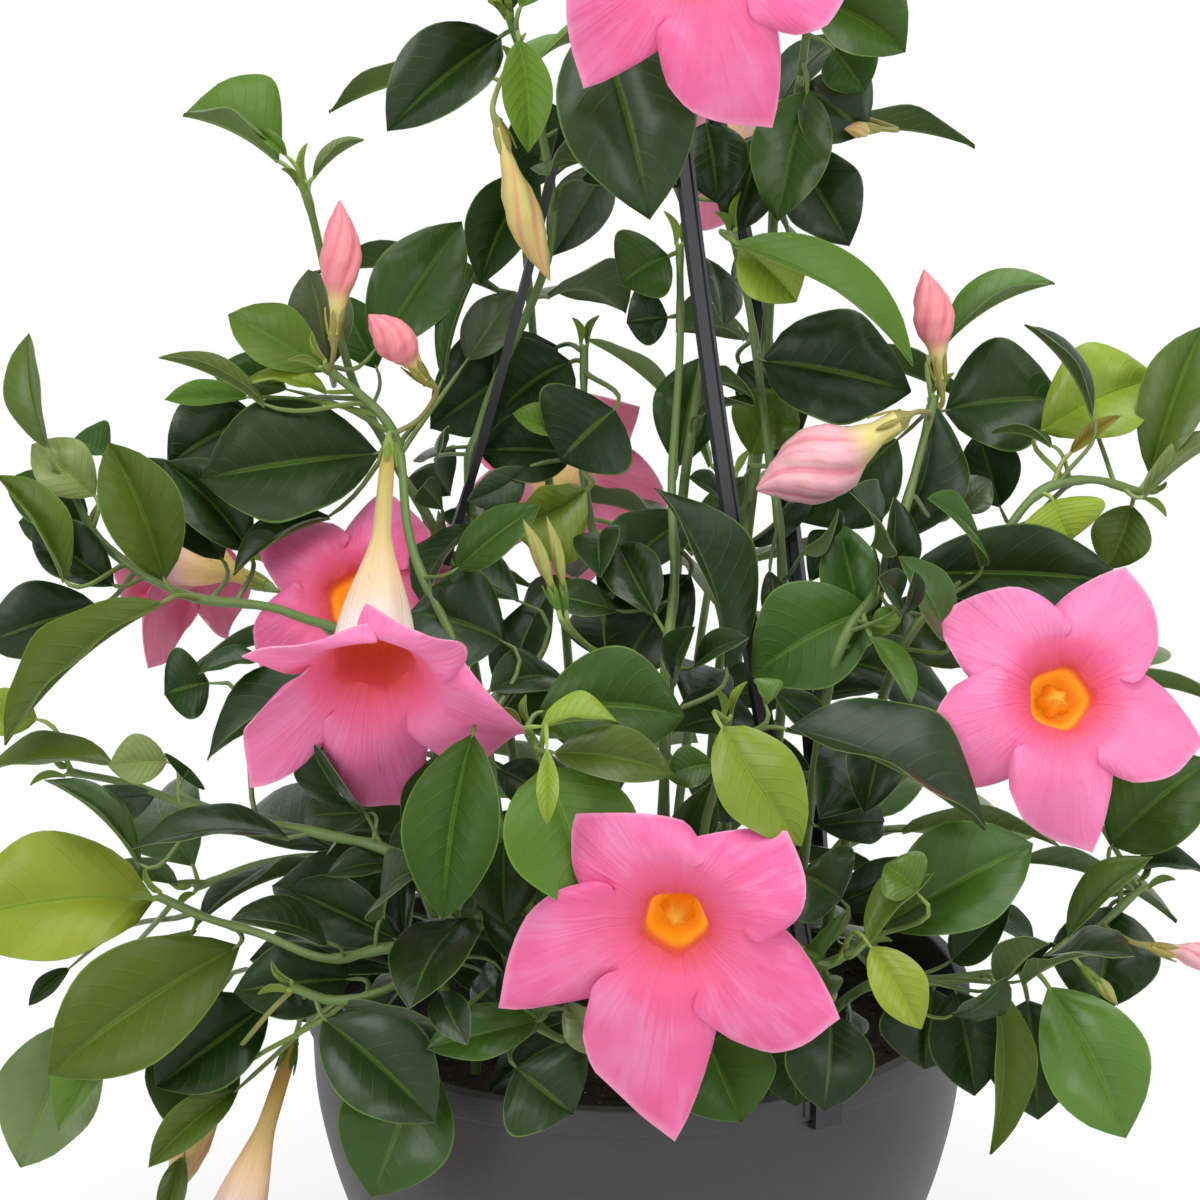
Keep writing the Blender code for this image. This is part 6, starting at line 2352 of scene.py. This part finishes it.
@dataclass(frozen=True)
class Studio:
    """A plain pale floor, soft light from above and in front, and the camera at the standpoint."""

    standpoint: Vector
    pitch: float
    lens: float = 167.0
    floor_size: float = 14.0
    sky: Colour = (0.93, 0.96, 1.0)
    sky_strength: float = 0.42

    def set_up(self) -> None:
        """Make everything."""
        self.add_floor()
        self.set_world()
        self.add_lamp("overhead_softbox", (0.2, -0.5, 2.2), 1.6, 30)
        self.add_lamp("front_left_softbox", (-1.7, -2.1, 1.6), 1.2, 24)
        self.add_lamp("front_right_softbox", (1.9, -1.8, 1.2), 1.2, 14)
        self.add_camera()

    def add_floor(self) -> None:
        """Add the floor, white to the camera but for the shadow on it."""
        mesh = bpy.data.meshes.new("studio_floor")
        half = self.floor_size / 2
        corners = [(-half, -half, 0), (half, -half, 0), (half, half, 0), (-half, half, 0)]
        mesh.from_pydata(corners, [], [(0, 1, 2, 3)])
        floor = bpy.data.objects.new("studio_floor", mesh)
        bpy.context.scene.collection.objects.link(floor)
        graph = Graph("studio_floor_paint")
        grain = graph.noise(graph.place(), 35, 3)
        paint = graph.mix(grain * 0.15, (0.86, 0.86, 0.86), (0.80, 0.80, 0.81))
        shader = graph.node("ShaderNodeBsdfPrincipled", None, {"Base Color": paint, "Roughness": 0.9})
        glow = graph.node("ShaderNodeEmission", None, {"Color": (1, 1, 1, 1), "Strength": 1.0})
        away = graph.node("ShaderNodeVectorMath", {"operation": "LENGTH"}, {0: graph.place()}, "Value")
        share = self.seen(graph) * (away.rise(0.05, 0.42) * 0.26 + 0.74)
        both = graph.node("ShaderNodeMixShader", None, {0: share, 1: shader, 2: glow})
        mesh.materials.append(graph.show(both))

    @staticmethod
    def seen(graph: Graph) -> Value:
        """Return 1 for rays from the camera, off gloss and through glass, and 0 for the rest."""
        camera, gloss, glass = [graph.node("ShaderNodeLightPath", out=name)
                                for name in ("Is Camera Ray", "Is Glossy Ray", "Is Transmission Ray")]
        rays = camera + gloss + glass
        return rays.math("MINIMUM", rays, 1.0)

    def set_world(self) -> None:
        """Light the part from all round, and show white behind it."""
        world = bpy.data.worlds.new("studio_light")
        bpy.context.scene.world = world
        graph = Graph("studio_light", world)
        sky = {"Color": (*self.sky, 1), "Strength": self.sky_strength}
        light = graph.node("ShaderNodeBackground", None, sky)
        white = graph.node("ShaderNodeBackground", None, {"Color": (1, 1, 1, 1), "Strength": 1.0})
        both = graph.node("ShaderNodeMixShader", None, {0: self.seen(graph), 1: light, 2: white})
        graph.node("ShaderNodeOutputWorld", None, {"Surface": both})

    @staticmethod
    def add_lamp(name: str, place: tuple[float, float, float], size: float, power: float) -> None:
        """Add a square soft lamp that faces the plant.

        Args:
            name: The lamp's name.
            place: Where it stands.
            size: The length of its side, in metres.
            power: Its power, in watts.
        """
        data = bpy.data.lights.new(name, "AREA")
        data.size = size
        data.energy = power
        lamp = bpy.data.objects.new(name, data)
        lamp.location = place
        lamp.rotation_mode = "QUATERNION"
        lamp.rotation_quaternion = (Vector((0, 0, 0.3)) - Vector(place)).to_track_quat("-Z", "Y")
        bpy.context.scene.collection.objects.link(lamp)

    def add_camera(self) -> None:
        """Add the camera and set how colours are shown."""
        data = bpy.data.cameras.new("camera")
        data.lens = self.lens
        data.sensor_width = 36.0
        data.clip_end = 60.0
        camera = bpy.data.objects.new("camera", data)
        camera.location = self.standpoint
        camera.rotation_euler = (math.pi / 2 - self.pitch, 0, 0)
        bpy.context.scene.collection.objects.link(camera)
        bpy.context.scene.camera = camera
        bpy.context.scene.view_settings.view_transform = "Standard"


# ---- The whole ----


@dataclass(frozen=True)
class Plant:
    """The climber: its shoots with their leaves, its flowers and its buds."""

    planting: Planting
    filling: Filling
    solid_kinds: tuple[str, ...] = ("pot", "potting_mix", "hanger", "flower", "bud")
    stem_room: float = 1.8 * MM
    scales: tuple[float, ...] = (1.0, 0.8)
    last_scales: tuple[float, ...] = (0.9, 0.75, 0.6)
    shifts: tuple[float, ...] = (0, -5, 5, -10, 10, -16, 16, -24, 24, -34, 34)
    last_shifts: tuple[float, ...] = (0, 7, -7, 13, -13, 20, -20, 28, 42, -42, 50, 58, -50)

    def dress(self) -> None:
        """Build every piece of the plant."""
        petal = [PETAL_FACE.make(), PETAL_BACK.make(), AntherFinish().make()]
        green = [LEAF_TOP.make(), LEAF_UNDER.make(), StemFinish().make()]
        bud_skin = BudFinish().make()
        flowers, buds = self.planting.flowers(), self.planting.buds()
        shoots = self.planting.front_shoots() + self.planting.back_shoots()
        self.fill_clearing()
        for flower in flowers:
            Corolla(flower).dress(petal)
            self.end_on(shoots, flower.shoot, (flower.foot, flower.facing, Corolla.foot_radius, 1.0))
        for bud in buds:
            Bud(bud).dress(bud_skin)
            way = (bud.tip - bud.foot).normalized()
            self.end_on(shoots, bud.shoot, (bud.foot, way, bud.radius * 0.3, bud.green))
        for shoot in shoots:
            self.keep_stem(shoot)
        self.place_leaves(shoots)
        LOG.info("filling: %d leaves", self.filling.fill(self.planting, shoots))
        for shoot in shoots:
            shoot.dress(green)

    def fill_clearing(self) -> None:
        """Put every solid of the frame that no leaf grows on into the clearing."""
        for name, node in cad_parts.items():
            if name.startswith(self.solid_kinds):
                mesh = node.data
                shape = ([vertex.co.copy() for vertex in mesh.vertices],
                         [tuple(polygon.vertices) for polygon in mesh.polygons])
                self.planting.clearing.add(name, shape)

    @staticmethod
    def end_on(shoots: Sequence[Shoot], name: str, end: tuple[Vector, Vector, float, float]) -> None:
        """Give a shoot the stalk of one flower or bud."""
        next(shoot for shoot in shoots if shoot.name == name).ends.append(end)

    def keep_stem(self, shoot: Shoot) -> None:
        """Keep the room that a shoot's stem and flower stalks take."""
        for path in (shoot.path, *(shoot.stalk_line(end, way) for end, way, _, _ in shoot.ends)):
            points = []
            for index, (_, across, other) in enumerate(frames_along(path)):
                points += [path[index] + (across * math.cos(angle) + other * math.sin(angle)) * self.stem_room
                           for angle in (0, TURN / 4, TURN / 2, TURN * 3 / 4)]
            self.planting.clearing.add(shoot.name, (points, closed_rings(len(path), 4)))

    def place_leaves(self, shoots: Sequence[Shoot]) -> None:
        """Place each shoot's own leaves, and then, smaller or farther aside, those that found no room."""
        waiting = [(shoot, plan, random.Random(f"{shoot.name}_{index}").random())
                   for shoot in shoots for index, plan in enumerate(shoot.plans)]
        for scales, shifts in ((self.scales, self.shifts), (self.last_scales, self.last_shifts)):
            waiting = [(shoot, plan, seed) for shoot, plan, seed in waiting
                       if not any(self.planting.place(shoot, replace(plan, scale=scale), seed, shifts)
                                  for scale in scales)]
            LOG.info("leaves without room: %d", len(waiting))


RIM_RADIUS = 125 * MM
HUB_RADIUS = 9 * MM
# Each strap's bearing from the front, in degrees, and how far it bows outward.
STRAPS = {
    "hanger_arm_left": (-88, -10 * MM),
    "hanger_arm_front": (32, -9 * MM),
    "hanger_arm_back": (145, 20 * MM),
}


def main() -> None:
    """Build the studio and every piece of the potted plant, in order."""
    logging.basicConfig(level=logging.INFO, format="%(name)s %(message)s")
    mix_low, mix_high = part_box("potting_mix")
    rim_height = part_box("pot")[1].z
    hub_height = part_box("hanger_hook")[0].z + Hook.hub_thickness / 2
    board = Board(Vector((0, 0, rim_height)))

    Studio(board.standpoint, board.pitch).set_up()
    Pot(RIM_RADIUS, rim_height, tuple(bearing for bearing, _ in STRAPS.values())).dress(POT_PLASTIC.make())
    PottingMix(mix_high.x, mix_high.z, mix_low.z).dress(MixFinish().make())
    black = HANGER_PLASTIC.make()
    for name, (bearing, bow) in STRAPS.items():
        Strap(name, bearing, bow, RIM_RADIUS, rim_height, hub_height, HUB_RADIUS).dress(black)
    Hook(hub_height, HUB_RADIUS).dress(black)
    Plant(Planting(board, mix_high.z), Filling(board)).dress()


if __name__ == "__main__":
    main()
